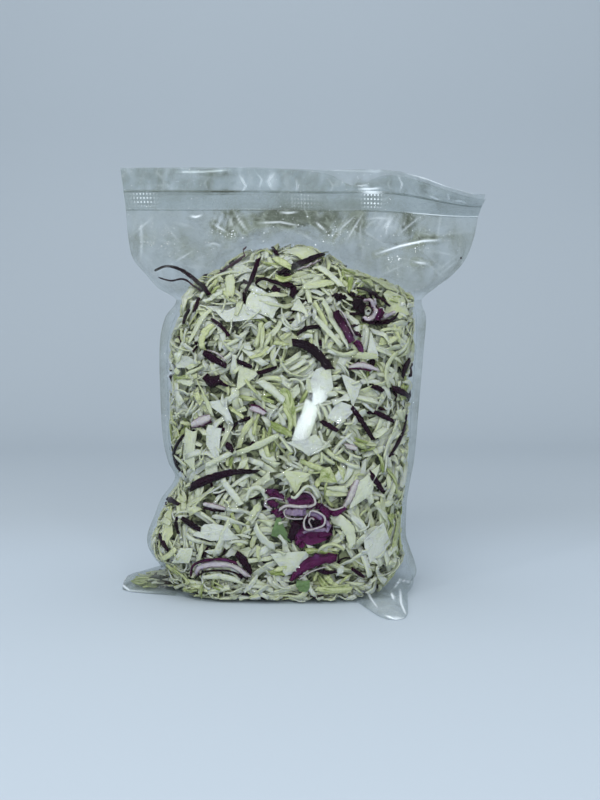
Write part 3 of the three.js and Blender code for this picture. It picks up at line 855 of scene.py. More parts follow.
class Packing:
    """The heap's form and everything laid on it."""

    def __init__(self):
        self.heap = Heap()
        self.pile = Pile()
        self.kinds = {k.name: k for k in kinds()}
        self.random = np.random.default_rng(SEED)
        self.placed = {finish: (Ribbons(PLACED_STEPS), Leaves()) for finish in FINISHES}
        self.loose = {finish: Ribbons(PLACED_STEPS) for finish in ("white", "pale", "green", "brown")}
        self.fill_corner()
        for piece in PLACED:
            self.place_strip(*piece)
        self.lay_all()

    # -- pieces placed one by one

    def place_strip(self, finish, path, wide, thick, hangs=False):
        """Lays one strip along a path seen by the camera, just under the film or under those above it. One
        that hangs is clear of the heap."""
        seen = [None if hangs else self.heap.seen_at(*point)[0] for point in path]
        spots = [inside_film(point) if spot is None else spot for spot, point in zip(seen, path)]
        at = np.linspace(0, len(spots) - 1, PLACED_STEPS + 1)
        line = spline(np.array(spots), at)
        found = [self.heap.nearest(p) for p in line]
        near = np.array([f[0] for f in found])
        normals = unit(np.array([f[1] for f in found]))
        free = np.linalg.norm(near - line, axis=1)
        path_on = np.where((free > 0.004)[:, None], line, near)
        ahead = unit(np.gradient(path_on, axis=0))
        side = unit(np.cross(ahead, normals))
        ends = np.linspace(0, 1, PLACED_STEPS + 1)
        widths = np.interp(ends, np.linspace(0, 1, len(wide)), np.array(wide)) * MM / 2
        widths = widths * (1 + 0.10 * self.random.standard_normal(PLACED_STEPS + 1))
        thick = thick * MM / 2
        marks = [
            self.pile.cells(np.array([p + s * w * k for k in CELLS_ACROSS]))
            for p, s, w in zip(path_on, side, widths)
        ]
        room = np.array([self.pile.room(c) for c in marks])
        high = -eased(thick - room, thick - room)
        roll = np.full(PLACED_STEPS + 1, self.random.standard_normal() * PLACED_ROLL)
        skew = self.random.standard_normal(2) * PLACED_SKEW
        middle = path_on - normals * (SHELL - high + PLACED_GAP)[:, None]
        across, face = tilted(side, normals, ahead, roll, skew)
        strips, _ = self.placed[finish]
        strips.add(middle, across * widths[:, None], face * thick, self.random.random(),
                   self.random.uniform(*PLACED_ARCH))
        for cells, height in zip(marks, high - thick):
            self.pile.reserve(cells, height)

    def place_leaf(self, finish, centre, size, turn):
        """Lays one leaf piece, spread out just under the film."""
        spot, normal = self.heap.seen_at(*centre)
        if spot is None:
            spot, normal = self.heap.nearest(inside_film(centre))
        _, leaves = self.placed[finish]
        half = np.array(size) * MM / 2
        self.put_leaf(leaves, spot, normal, half, math.radians(turn), LEAF_THICK * MM / 2, True)

    # -- pieces laid at random

    def put_leaf(self, leaves, spot, normal, half, turn, thick, at_top):
        """Lays a leaf piece over what lies there, or just under the film, and says whether it fitted."""
        random = self.random
        flat = unit(np.cross(normal, [0.02, 0.31, 0.95]))
        flat = flat if np.dot(flat, [1, 0, 0]) > 0 else -flat
        up = np.cross(normal, flat)
        up = up if up[2] > 0 else -up
        outline = leaf_outline(random, half)
        c, s = math.cos(turn), math.sin(turn)
        a = outline[:, 0] * c - outline[:, 1] * s
        b = outline[:, 0] * s + outline[:, 1] * c
        found = [self.heap.nearest(spot + flat * p + up * q) for p, q in zip(a, b)]
        spots, normals = np.array([f[0] for f in found]), np.array([f[1] for f in found])
        marks = [self.pile.cells(p) for p in spots]
        lean = (outline @ random.standard_normal(2)) * 0.16 + np.sin(a * 300 + random.random() * 6) * 0.0006
        lean = lean + random.uniform(-0.0008, 0.0014) * by_ring(0.0, 0.3, 1.0)
        floor = np.array([self.pile.top(m) for m in marks])
        room = np.array([self.pile.room(m) for m in marks])
        height = np.maximum(floor, 0.6 * floor.max() + 0.4 * floor) + thick + np.abs(lean)
        if at_top:
            height = np.minimum(np.maximum(height, SHELL * LEAF_HEIGHT), room - thick)
        elif np.any(height + thick > room):
            return False
        for m, h in zip(marks, height + thick * 0.7):
            self.pile.raise_to(m, h)
        thin = by_ring(1.0, 1.0, 0.75) * thick
        leaves.add(spots - normals * (SHELL - height)[:, None], normals * thin[:, None], random.random())
        return True

    def profile(self, steps):
        """Share of the full width at each station: a little narrower at some ends, uneven between."""
        t = np.linspace(0, 1, steps + 1)
        pinch = self.random.random(2) ** 3 * 0.8
        ends = 1 - pinch[0] * (1 - t) ** 4 - pinch[1] * t**4
        return np.maximum(ends, 0.15) * (1 + 0.13 * self.random.standard_normal(steps + 1))

    def lay(self, kind):
        """Tries to lay one piece of this kind with the strips nested beside it, and says whether the
        first found room."""
        random = self.random
        long = random.uniform(*kind.long)
        wide = random.uniform(*kind.wide) / 2
        thick = random.uniform(*kind.thick) / 2
        start = self.heap.spot(random)
        if kind.finish == "green" and random.random() < GATHERED_SHARE:
            middle, spread = GREEN_SPOTS[random.integers(len(GREEN_SPOTS))]
            seen, _ = self.heap.seen_at(*(np.array(middle) + random.standard_normal(2) * spread * 0.6))
            start = start if seen is None else seen
        if not kind.steps:
            spot, normal = self.heap.nearest(start)
            turn = random.uniform(0, math.pi)
            return self.put_leaf(kind.strips, spot, normal, np.array([long / 2, wide]), turn, thick, False)
        bend = random.standard_normal() * kind.bend * (CURLED if random.random() < CURLED_SHARE else 1)
        heading = random.uniform(0, 2 * math.pi)
        heading = heading if start[2] > BASE_BAND else random.standard_normal() * 0.3
        roll = random.standard_normal() * kind.roll
        beside = self.lay_strip(kind, start, heading, long, wide, thick, bend, roll)
        if beside is None:
            return False
        for _ in range(random.integers(kind.nest + 1)):
            start = start + beside * wide * random.uniform(1.7, 2.3)
            heading = heading + random.standard_normal() * 0.12
            next_wide = wide * random.uniform(0.75, 1.15)
            self.lay_strip(kind, start, heading, long * random.uniform(0.7, 1.1), next_wide, thick,
                           bend * random.uniform(0.8, 1.2), roll + random.standard_normal() * 0.2)
        return True

    def lay_strip(self, kind, start, heading, long, wide, thick, bend, roll):
        """Lays one strip where there is room, and returns the direction across it at its start."""
        random = self.random
        path, normals = walk(self.heap, start, heading, long, bend, kind.steps)
        ahead = unit(np.gradient(path, axis=0))
        side = unit(np.cross(ahead, normals))
        widths = wide * self.profile(kind.steps)
        between = (path[1:] + path[:-1]) / 2
        dense = np.concatenate([path, between, between[-1:]])
        sides, spans = np.tile(side, (2, 1)), np.tile(widths, 2)
        reach = (sides * spans[:, None])[:, None] * np.array(CELLS_ACROSS)[None, :, None]
        found = self.pile.cells(dense[:, None] + reach)
        ranks = [found[i:i + len(CELLS_ACROSS)] for i in range(0, len(found), len(CELLS_ACROSS))]
        marks = [on + after for on, after in zip(ranks, ranks[len(path):])]
        floor = np.array([self.pile.top(cells) for cells in marks])
        room = np.array([self.pile.room(cells) for cells in marks])
        low = eased(floor + thick, floor + thick)
        if np.any(low + thick > room):
            return None
        highest = SHELL * (RED_LONG_HEIGHT if long > RED_LONG else RED_SHORT_HEIGHT)
        if kind.finish == "red" and normals[0][1] < FACES_FRONT and low.max() > highest:
            return None
        roll = roll + np.linspace(-1, 1, kind.steps + 1) * random.standard_normal() * kind.roll * 0.8
        lean = np.minimum(np.abs(np.sin(roll)) * widths, np.maximum(room - low - thick, 0) * 0.7 + 0.0008)
        roll = np.sign(roll) * np.arcsin(np.clip(lean / np.maximum(widths, 1e-6), 0, 0.98))
        middle = path - normals * (SHELL - low - lean * 0.6)[:, None]
        skew = random.standard_normal(2) * LOOSE_SKEW
        across, face = tilted(side, normals, ahead, roll, skew)
        thin = thick * (1 - 0.25 * np.abs(np.linspace(-1, 1, kind.steps + 1)) ** 6)
        kind.strips.add(middle, across * widths[:, None], face * thin[:, None], random.random(),
                        random.uniform(*LOOSE_ARCH))
        for cells, height in zip(marks, low + thick * 0.6):
            self.pile.raise_to(cells, height)
        return side[0]

    def fill_corner(self):
        """Lays a few scraps in the folded-out left corner of the base, on its floor: pale near the bag, then
        wilted, and green at the tip."""
        random = np.random.default_rng(CORNER_SEED)
        for i in range(CORNER_SCRAPS):
            far = random.random() ** 1.2
            x = CORNER_ROOT - CORNER_LONG * far
            half_wide = CORNER_WIDE - 0.011 * far
            y = CORNER_MIDDLE + random.uniform(-1, 1) * half_wide
            top = (CORNER_HIGH - 0.0115 * far) * math.sqrt(max(1 - ((y - CORNER_MIDDLE) / 0.03) ** 2, 0))
            z = 0.0016 + random.random() * max(top - 0.002, 0)
            wilted = WILTED_FROM < far < WILTED_TO
            heading = random.uniform(-1.3, 1.3) if wilted else random.uniform(-0.6, 0.6)
            ahead = np.array([math.cos(heading), math.sin(heading), random.uniform(-0.10, 0.10)])
            long, wide = random.uniform(0.007, 0.016), random.uniform(0.0026, 0.0060)
            t = np.linspace(-0.5, 0.5, PLACED_STEPS + 1)[:, None]
            middle = np.array([x, y, z]) + ahead * t * long + np.array([0, 0, 0.0006]) * np.sin(t * 5 + i)
            middle[:, 2] = np.clip(middle[:, 2], 0.001, max(top, 0.0015))
            middle[:, 0] = np.clip(middle[:, 0], CORNER_TIP, None)
            side = unit(np.cross(ahead, [0, 0.5 * random.standard_normal(), 1]))
            face = unit(np.cross(side, ahead))
            width = wide / 2 * (1 - 0.6 * np.abs(2 * t) ** 3)
            mixed = ("white", "pale", "green") if far <= WILTED_FROM else ("pale", "green", "green")
            mixed = ("brown", "brown", "white") if wilted else mixed
            strips = self.loose[mixed[i % 3]]
            strips.add(middle, side * width, face * np.full_like(t, CORNER_THICK), random.random())

    def lay_all(self):
        """Lays shreds of all kinds in a mixed order, late kinds towards the end, with the placed leaves
        among them. A shred that finds no room is left out."""
        kinds_in_turn = list(self.kinds.values())
        order = np.concatenate([np.full(k.count, i) for i, k in enumerate(kinds_in_turn)])
        late = np.concatenate([np.full(k.count, k.late) for k in kinds_in_turn])
        order = order[np.argsort(late + self.random.random(len(order)))]
        for turn, number in enumerate(order):
            if turn == int(len(order) * LEAVES_AFTER):
                for piece in PLACED_LEAVES:
                    self.place_leaf(*piece)
            for _ in range(TRIES):
                if self.lay(kinds_in_turn[number]):
                    break


def spline(points, at):
    """A smooth curve through points, read at these places, where 1 is the second point."""
    i = np.clip(at.astype(int), 0, len(points) - 2)
    t = (at - i)[:, None]
    before, after = np.maximum(i - 1, 0), np.minimum(i + 2, len(points) - 1)
    a, b, c, d = points[before], points[i], points[i + 1], points[after]
    return b + t * 0.5 * (c - a) + t**2 * (a - 2.5 * b + 2 * c - 0.5 * d) + t**3 * 0.5 * (d - a + 3 * (b - c))


@cache
def packing():
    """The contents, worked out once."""
    return Packing()


# ---------------------------------------------------------------- finishes


class Value:
    """A number or colour that varies over a surface. Python's operators add Math nodes."""

    def __init__(self, finish, socket):
        self.finish, self.socket = finish, socket

    def math(self, operation, *values):
        """A Math node on this value and these."""
        return self.finish.make("ShaderNodeMath", {"operation": operation}, (self, *values))

    def __add__(self, other):
        return self.math("ADD", other)

    def __sub__(self, other):
        return self.math("SUBTRACT", other)

    def __rsub__(self, other):
        return self.finish.make("ShaderNodeMath", {"operation": "SUBTRACT"}, (other, self))

    def __mul__(self, other):
        return self.math("MULTIPLY", other)

    __radd__ = __add__
    __rmul__ = __mul__

    def ease(self, low, high, start=0.0, end=1.0):
        """Goes smoothly from start to end while this value goes from low to high."""
        settings = {"interpolation_type": "SMOOTHSTEP"}
        return self.finish.make("ShaderNodeMapRange", settings, (self, low, high, start, end))


class Finish:
    """A material made of nodes."""

    def __init__(self, name):
        self.material = bpy.data.materials.new(name)
        self.material.use_nodes = True
        self.tree = self.material.node_tree
        self.tree.nodes.clear()
        self.output = self.tree.nodes.new("ShaderNodeOutputMaterial")

    def node(self, kind, settings=None, values=()):
        """Adds a node. Values go to its inputs in order, or by name or number from a dictionary."""
        node = self.tree.nodes.new(kind)
        for key, setting in (settings or {}).items():
            setattr(node, key, setting)
        pairs = values.items() if isinstance(values, dict) else enumerate(values)
        for key, value in pairs:
            if isinstance(value, Value):
                self.tree.links.new(value.socket, node.inputs[key])
            else:
                node.inputs[key].default_value = value
        return node

    def make(self, kind, settings=None, values=(), output=0):
        """Adds a node and gives one of its outputs."""
        return Value(self, self.node(kind, settings, values).outputs[output])

    def place(self):
        return self.make("ShaderNodeTexCoord", output="Object")

    def mark(self):
        """The strip's own random number, the place along it and the place across it."""
        colour = self.make("ShaderNodeAttribute", {"attribute_name": MARK}, output="Color")
        node = self.node("ShaderNodeSeparateColor", None, (colour,))
        return [Value(self, node.outputs[i]) for i in range(3)]

    def noise(self, size, detail=3.0, rough=0.5, at=None, distortion=0.0):
        """Noise with features of about this size in metres, from 0 to 1."""
        values = {"Vector": at or self.place(), "Scale": 1 / size, "Detail": detail, "Roughness": rough,
                  "Distortion": distortion}
        return self.make("ShaderNodeTexNoise", None, values)

    def mix(self, factor, first, second, blend="MIX"):
        settings = {"data_type": "RGBA", "blend_type": blend, "clamp_factor": True}
        return self.make("ShaderNodeMix", settings, {0: factor, 6: opaque(first), 7: opaque(second)}, 2)

    def bump(self, height, distance, strength=1.0):
        values = {"Height": height, "Distance": distance, "Strength": strength}
        return self.make("ShaderNodeBump", None, values, "Normal")

    def finished(self, shader):
        self.tree.links.new(shader.socket, self.output.inputs["Surface"])
        return self.material


def opaque(colour):
    return colour if isinstance(colour, Value) else (*colour[:3], 1.0)


def times(colour, much):
    return [v * much for v in colour]


def blended(first, second, share):
    """The two colours mixed, with this share of the first."""
    return [v * share + w * (1 - share) for v, w in zip(first, second)]


# What the film scatters: milky over most of it; dim where it is darkest, a painted shade; white at folds and
# in sparkles, a painted highlight that along folds stands also for whitened film.
MILKY, DIM, WHITE = (0.20, 0.23, 0.195), (0.035, 0.042, 0.028), (0.80, 0.86, 0.90)
GLOSS = (0.9, 0.9, 0.9)
WILTED, WILTED_PALE = (0.012, 0.006, 0.004), (0.05, 0.03, 0.012)

# The record's slot for each finish of the slaw.
SLOTS = {"white": "white_cabbage", "brown": "green_cabbage"}
SLOTS.update((finish, "green_cabbage") for finish in ("pale", "green", "green leaf"))
SLOTS.update((finish, "red_cabbage") for finish in ("red", "purple", "lilac", "mauve"))


def cabbage_finish(name, deep, pale, edge, edge_from=0.60, stain=None, shine=0.18):
    """Raw cabbage: each strip its own tint between deep and pale, with fibres along it, its rim and its
    veins in the edge's colour, its stains in theirs, and a moist surface."""
    f = Finish(name)
    tint, along_it, across = f.mark()
    from_middle = (across - 0.5).math("ABSOLUTE") * 2
    strip = f.make("ShaderNodeCombineXYZ", None, (along_it * 1.6, across * 4.2, tint * 60))
    fibres = f.noise(1.0, 3, 0.6, strip)
    blotch = f.noise(0.006, 3, 0.6)
    stains = f.noise(0.011, 3, 0.6, None, 0.8)
    ribs = f.noise(0.0013, 2, 0.5)
    swath = f.noise(0.030, 2, 0.5)
    veins = f.make("ShaderNodeTexVoronoi", {"feature": "DISTANCE_TO_EDGE"},
                   {"Vector": f.place(), "Scale": 1 / 0.008, "Randomness": 1.0})
    light = tint * 0.7 + 0.15 + (blotch - 0.5) * 1.1 + (fibres - 0.5) * 2.0 + (swath - 0.5) * 1.6
    base = f.mix(light.ease(0.05, 0.70), deep, pale)
    base = f.mix(ribs.ease(0.50, 0.72) * 0.22, base, times(deep, 0.7))
    ragged = from_middle + (fibres - 0.5) * 0.9 + (blotch - 0.5) * 0.6
    base = f.mix(ragged.ease(edge_from, edge_from + 0.40) * 0.6, base, edge)
    base = f.mix(stains.ease(0.54, 0.72) * 0.45, base, stain or edge)
    vein = 1 - (veins + (blotch - 0.5) * 0.08).ease(0.0, 0.05)
    base = f.mix(vein * 0.17, base, edge)
    normal = f.bump(ribs * 0.4 + fibres * 0.7 + blotch * 0.6 + vein * 0.10, 0.0012, 0.8)
    values = {"Base Color": base, "Roughness": 0.36, "Normal": normal, "Coat Weight": shine * 0.5,
              "Coat Roughness": 0.15, "Specular IOR Level": shine, "Subsurface Weight": 0.45,
              "Subsurface Radius": (1.0, 1.0, 0.5), "Subsurface Scale": 0.003}
    return f.finished(f.make("ShaderNodeBsdfPrincipled", None, values))


def film_finish(name, clear, haze, crumple, fine_size=0.004):
    """Clear film: light passes, a little is scattered, and the rest is a sharp reflection. Where the film
    stands free of the contents, as its zone mark says, it is greyer, with painted shade where that mark is
    highest; along sharp folds it is white, a painted highlight that stands also for whitened film, and
    painted sparkles fleck the free film."""
    f = Finish(name)
    place = f.place()
    zone, crease_and_glint, taut = (
        f.make("ShaderNodeAttribute", {"attribute_name": mark}, output="Fac") for mark in (ZONE, CREASE_AND_GLINT, TAUT)
    )
    broad = f.noise(0.034, 3, 0.55, place)
    fine = f.noise(fine_size, 4, 0.62, place, 0.6)
    speckle = f.noise(0.0010, 2, 0.5, place)
    facets = f.make("ShaderNodeTexVoronoi", {"feature": "DISTANCE_TO_EDGE"},
                    {"Vector": place, "Scale": 1 / 0.014, "Randomness": 1.0})
    crinkle = (1 - (facets + (fine - 0.5) * 0.14).ease(0.0, 0.05)) * broad.ease(0.50, 0.62)
    height = broad * 0.8 + fine * 0.28 + speckle * 0.03 + facets.ease(0.0, 0.25) * 0.45
    normal = f.bump(height * (1 - taut), crumple, 0.7)
    milky, dim, white = (
        f.make("ShaderNodeBsdfDiffuse", None, {"Color": opaque(colour), "Normal": normal})
        for colour in (MILKY, DIM, WHITE)
    )
    patch = zone * haze * (broad.ease(0.30, 0.70) + fine.ease(0.40, 0.72) * 0.40 + 0.30)
    # Painted shade: a dim colour where the zone mark is highest.
    dimmed = zone.ease(2.0, 5.5) * fine.ease(0.22, 0.56) * 0.68
    # Painted sparkles and glint lines on the free film, which with the white mark make a painted highlight.
    dots = speckle.ease(0.60, 0.70) * fine.ease(0.45, 0.60)
    painted_sparkles = dots * 0.14 + crinkle * 0.06 + fine.ease(0.62, 0.80) * 0.16
    glint = crease_and_glint.ease(0.0, 0.85) * 0.9 + zone.math("MINIMUM", 1.5) * painted_sparkles
    veil = f.make("ShaderNodeBsdfTransparent", None, (opaque(clear),))
    for share, scattered in ((patch, milky), (dimmed, dim), (glint, white)):
        veil = f.make("ShaderNodeMixShader", None, (share, veil, scattered))
    gloss = {"Color": opaque(GLOSS), "Roughness": 0.07, "Normal": normal}
    edge = f.make("ShaderNodeFresnel", None, {"IOR": 1.5, "Normal": normal})
    most = (edge * 0.24).math("MINIMUM", 0.20)
    shine = f.make("ShaderNodeBsdfGlossy", None, gloss)
    return f.finished(f.make("ShaderNodeMixShader", None, (most, veil, shine)))


# The core's dark colour, from near black to dim green, is painted shade of the deep gaps between shreds.
def core_finish(colour):
    f = Finish("packed_slaw")
    grain = f.noise(0.005, 4, 0.6, None, 1.2)
    tone = f.mix(grain.ease(0.40, 0.62), times(colour, 0.2), times(colour, 4.2))
    values = {"Base Color": tone, "Roughness": 0.55, "Normal": f.bump(grain, 0.002)}
    return f.finished(f.make("ShaderNodeBsdfPrincipled", None, values))


# ---------------------------------------------------------------- modelling steps


def only(piece):
    bpy.ops.object.select_all(action="DESELECT")
    piece.select_set(True)
    bpy.context.view_layer.objects.active = piece


def settle(piece, material, slot_name):
    """Gives the finished piece its material, and fixes it to the bag."""
    piece.data.materials.clear()
    piece.data.materials.append(material)
    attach(piece, "root")
    return piece


def grid(name, columns, rows):
    """A flat grid one unit square, with its corner at the origin, ready to be shaped."""
    bpy.ops.object.select_all(action="DESELECT")
    bpy.ops.mesh.primitive_grid_add(x_subdivisions=columns, y_subdivisions=rows, size=1.0, location=(0, 0, 0))
    piece = bpy.context.object
    piece.name = piece.data.name = name
    return piece


def read_points(piece):
    points = np.empty(len(piece.data.vertices) * 3, np.float32)
    piece.data.vertices.foreach_get("co", points)
    return points.reshape(-1, 3).astype(float)


def write_points(piece, points):
    piece.data.vertices.foreach_set("co", points.astype(np.float32).ravel())
    piece.data.update()


def merged(piece):
    """Merges the points that lie together and turns every face outwards."""
    only(piece)
    bpy.ops.object.mode_set(mode="EDIT")
    bpy.ops.mesh.select_all(action="SELECT")
    bpy.ops.mesh.remove_doubles(threshold=0.00001)
    bpy.ops.mesh.normals_make_consistent(inside=False)
    bpy.ops.object.mode_set(mode="OBJECT")


def shade_smooth(piece):
    only(piece)
    bpy.ops.object.shade_smooth()


def apply(piece, modifier):
    """Makes a modifier's result the piece's own mesh."""
    only(piece)
    bpy.ops.object.modifier_apply(modifier=modifier.name)


# ---------------------------------------------------------------- settings


class SLAW_PG_sizes(bpy.types.PropertyGroup):
    film: FloatProperty(name="Film", description="Thickness of the film", default=0.0001, unit="LENGTH")
    core_inset: FloatProperty(name="Core inset", description="From the heap's form to its dark core",
                              default=0.0085, unit="LENGTH")


def tint(name, description, default):
    return FloatVectorProperty(name=name, description=description, subtype="COLOR", default=default)


class SLAW_PG_colours(bpy.types.PropertyGroup):
    white: tint("White cabbage", "Palest shreds", (0.548, 0.568, 0.514))
    pale: tint("Pale green", "Pale green shreds", (0.505, 0.535, 0.31))
    green: tint("Green", "Yellow-green leaf", (0.21, 0.26, 0.075))
    leaf: tint("Green leaf", "The greenest leaf", (0.085, 0.135, 0.055))
    red: tint("Red cabbage", "Skin of the red cabbage", (0.007, 0.002, 0.005))
    # Red cabbage painted lighter, as if lit.
    purple: tint("Purple", "Red cabbage with light in it", (0.045, 0.0045, 0.030))
    lilac: tint("Lilac", "Inner face of the red cabbage", (0.14, 0.055, 0.19))
    red_edge: tint("Red cabbage cut", "Cut edge of the red cabbage", (0.47, 0.415, 0.465))
    # Dark as painted shade of the deep gaps.
    core: tint("Core", "Deep gaps in the heap", (0.06, 0.066, 0.036))
    film: tint("Film", "Tint of light through the film", (0.95, 0.965, 0.965))
    wall: tint("Wall", "Backdrop", (0.455, 0.505, 0.55))
    floor: tint("Floor", "Floor", (0.50, 0.56, 0.62))


def sizes():
    return bpy.context.scene.slaw_sizes


def colours():
    return bpy.context.scene.slaw_colours


# ---------------------------------------------------------------- the pieces


class SLAW_OT_core(bpy.types.Operator):
    """Adds the middle of the heap, dark as painted shade, which shows between the shreds"""

    bl_idname = "slaw.core"
    bl_label = "Core of the heap"

    def execute(self, context):
        heap = packing().heap
        bpy.ops.object.select_all(action="DESELECT")
        bpy.ops.mesh.primitive_uv_sphere_add(segments=96, ring_count=64, radius=1, location=(0, 0, 0))
        piece = context.object
        piece.name = piece.data.name = "slaw_core"
        points = read_points(piece)
        low, high = heap.points.min(axis=0), heap.points.max(axis=0)
        middle = (low + high) / 2
        boxed = np.sign(points) * np.abs(points) ** 0.6
        aims = middle + boxed * ((high - low) / 2) * 1.05
        moved = []
        for aim in aims:
            centre = np.array([middle[0] * 0.2 + aim[0] * 0.55, 0, np.clip(aim[2], 0.04, 0.19)])
            ray = unit(aim - centre + 1e-9)
            spot, normal, _, _ = heap.tree.ray_cast(Vector(centre), Vector(ray))
            if spot is None:
                spot, normal, _, _ = heap.tree.find_nearest(Vector(aim))
            moved.append(np.array(spot) - np.array(normal) * sizes().core_inset)
        moved = np.array(moved)
        moved = moved + noise_at(moved, 0.012)[:, None] * 0.0012
        moved[:, 2] = np.maximum(moved[:, 2], 0.001)
        write_points(piece, moved + SHIFT)
        merged(piece)
        shade_smooth(piece)
        settle(piece, core_finish(colours().core), "packed_slaw")
        return {"FINISHED"}


@cache
def slaw_finishes():
    """The material and the slot of each finish, made once."""
    c = colours()
    middle = blended(c.white, c.pale, 0.55)
    rim = blended(c.pale, c.green, 0.7)
    dark, lit = times(c.purple, 0.35), times(c.purple, 1.9)
    lilac_pale = blended(c.lilac, c.red_edge, 0.55)
    cut = blended(c.red_edge, middle, 0.65)
    # Name, deep, pale and edge, then where the edge starts, the stains' colour and the shine.
    looks = {
        "white": ("white_cabbage", middle, c.white, c.pale),
        "pale": ("pale_green_cabbage", c.pale, middle, rim),
        "green": ("green_cabbage", c.green, c.pale, c.green),
        "green leaf": ("green_leaf", c.leaf, times(c.leaf, 1.6), c.leaf),
        "brown": ("wilted_cabbage", WILTED, WILTED_PALE, c.red),
        "red": ("red_cabbage", c.red, dark, c.red, 0.5, c.red, 0.08),
        # The purple finish is the red cabbage's colour painted lighter, as if lit: a painted highlight.
        "purple": ("red_cabbage_lit", times(c.purple, 0.5), lit, c.red, 0.6, c.lilac, 0.10),
        "lilac": ("red_cabbage_inside", c.lilac, lilac_pale, c.purple, 0.6),
        "mauve": ("red_cabbage_cut", c.red_edge, cut, lit, 0.5),
    }
    return {finish: (cabbage_finish(*look), SLOTS[finish]) for finish, look in looks.items()}


def dress(piece, finish):
    settle(piece, *slaw_finishes()[finish])


class SLAW_OT_shreds(bpy.types.Operator):
    """Lays the shreds of every kind over the core, each kind as one piece"""

    bl_idname = "slaw.shreds"
    bl_label = "Shredded cabbage"

    def execute(self, context):
        for name, kind in packing().kinds.items():
            dress(kind.strips.mesh(name), kind.finish)
        return {"FINISHED"}


class SLAW_OT_placed(bpy.types.Operator):
    """Lays the larger strips and leaves against the front of the film, and the scraps in the corner"""

    bl_idname = "slaw.placed"
    bl_label = "Larger pieces"

    def execute(self, context):
        for finish, (strips, leaves) in packing().placed.items():
            ending = finish.replace(" ", "_")
            if strips.marks:
                dress(strips.mesh("large_strips_" + ending, HANGING_PROUD), finish)
            if leaves.marks:
                dress(leaves.mesh("large_leaves_" + ending), finish)
        for finish, strips in packing().loose.items():
            dress(strips.mesh("corner_scraps_" + finish, None), finish)
        return {"FINISHED"}


def line_gap(across, down, path):
    """Distance in frame widths from each place to a path, and how far along the path it is, from 0 to 1."""
    best = np.full(len(across), 1e9)
    along_it = np.zeros(len(across))
    legs = len(path) - 1
    for i in range(legs):
        (ax, ay), (bx, by) = path[i], path[i + 1]
        reach = (bx - ax) ** 2 + (by - ay) ** 2
        t = np.clip(((across - ax) * (bx - ax) + (down - ay) * (by - ay)) / reach, 0, 1)
        gap = np.hypot(across - ax - t * (bx - ax), down - ay - t * (by - ay))
        closer = gap < best
        best = np.where(closer, gap, best)
        along_it = np.where(closer, (i + t) / legs, along_it)
    return best, along_it


# Sharp folds of the front of the header: path in the frame, how proud in millimetres, how white. The white
# along each is a painted highlight that stands also for whitened film, with painted shade beside it.
FOLDS = (
    (((376, 254), (400, 246), (423, 241), (440, 240)), 1.3, 0.85),
    (((437, 235), (455, 233), (472, 231)), 1.0, 0.15),
    (((399, 234), (410, 225), (422, 215)), 0.9, 0.35),
    (((345, 243), (354, 228), (364, 212)), 0.9, 0.40),
    (((337, 232), (346, 224), (356, 215)), 0.8, 0.35),
    (((235, 212), (239, 220), (245, 230)), 0.8, 0.45),
    (((214, 224), (220, 228), (226, 232)), 0.8, 0.55),
    (((228, 216), (231, 222), (232, 229)), 0.6, 0.30),
    (((258, 223), (280, 222), (301, 226)), 0.8, 0.55),
    (((279, 212), (288, 213), (298, 212)), 0.5, 0.60),
    (((190, 216), (196, 217), (202, 215)), 0.6, 0.70),
    (((174, 262), (183, 257), (193, 251)), 0.7, 0.30),
    (((141, 222), (142, 243), (140, 265)), 0.7, 0.22),
    (((133, 238), (150, 262), (176, 292)), 0.8, 0.12),
    (((316, 222), (320, 226), (326, 231)), 0.5, 0.60),
    (((452, 222), (450, 240), (440, 262)), 0.8, 0.12),
    (((150, 236), (168, 243), (186, 241)), 0.6, 0.12),
    (((205, 246), (214, 243), (222, 247)), 0.4, 0.35),
    (((414, 262), (421, 263), (428, 264)), 0.4, 0.60),
    (((300, 233), (309, 238), (318, 243)), 0.5, 0.25),
    (((370, 268), (392, 262), (410, 268)), 0.6, 0.12),
)

# Fans of pleats that hang from the zip: top, spread of the feet, number, how proud and how white, the white a
# painted highlight.
FANS = (
    ((229, 211), ((206, 236), (250, 234)), 9, 0.7, 0.30),
    ((352, 212), ((322, 240), (358, 246)), 6, 0.8, 0.28),
    ((398, 211), ((372, 236), (412, 238)), 7, 0.7, 0.25),
    ((428, 213), ((398, 240), (436, 242)), 5, 0.5, 0.16),
)


SCRATCHES = 100


def fan_folds():
    folds = []
    for (x, y), ((ax, ay), (bx, by)), count, proud, white in FANS:
        for i in range(count):
            t = (i + 0.3 * (i % 2)) / (count - 1)
            top = x + (t - 0.5) * 22, y + 2 * (i % 3)
            foot = ax + (bx - ax) * t, ay + (by - ay) * t - 5 * (i % 2)
            bow = (top[0] + foot[0]) / 2 + 2.5 * math.sin(i * 2.2), (top[1] + foot[1]) / 2
            whiteness = white * (0.5 + 0.5 * ((i * 7) % 3) / 2)
            folds.append(((top, bow, foot), proud * (1 - 0.4 * (i % 2)), whiteness))
    return tuple(folds)


def scratch_folds():
    """Many short faint creases of the handled header, each with a faint painted highlight."""
    random = np.random.default_rng(SCRATCH_SEED)
    folds = []
    for _ in range(SCRATCHES):
        x, y = random.uniform(134, 474), random.uniform(216, 286)
        inward = (FRAME_WIDE / 2 - x) / (FRAME_WIDE / 2)
        lean = random.uniform(-0.9, 0.9) + 1.2 * inward + (math.pi / 2 if random.random() < 0.4 else 0)
        long = random.uniform(6, 20)
        ends = [(x + s * long * math.cos(lean), y + s * long * math.sin(lean)) for s in (-1, 0, 1)]
        ends[1] = ends[1][0] + random.uniform(-2, 2), ends[1][1] + random.uniform(-2, 2)
        folds.append((tuple(ends), random.uniform(0.2, 0.6), 0.03 + 0.20 * random.random() ** 2))
    return tuple(folds)


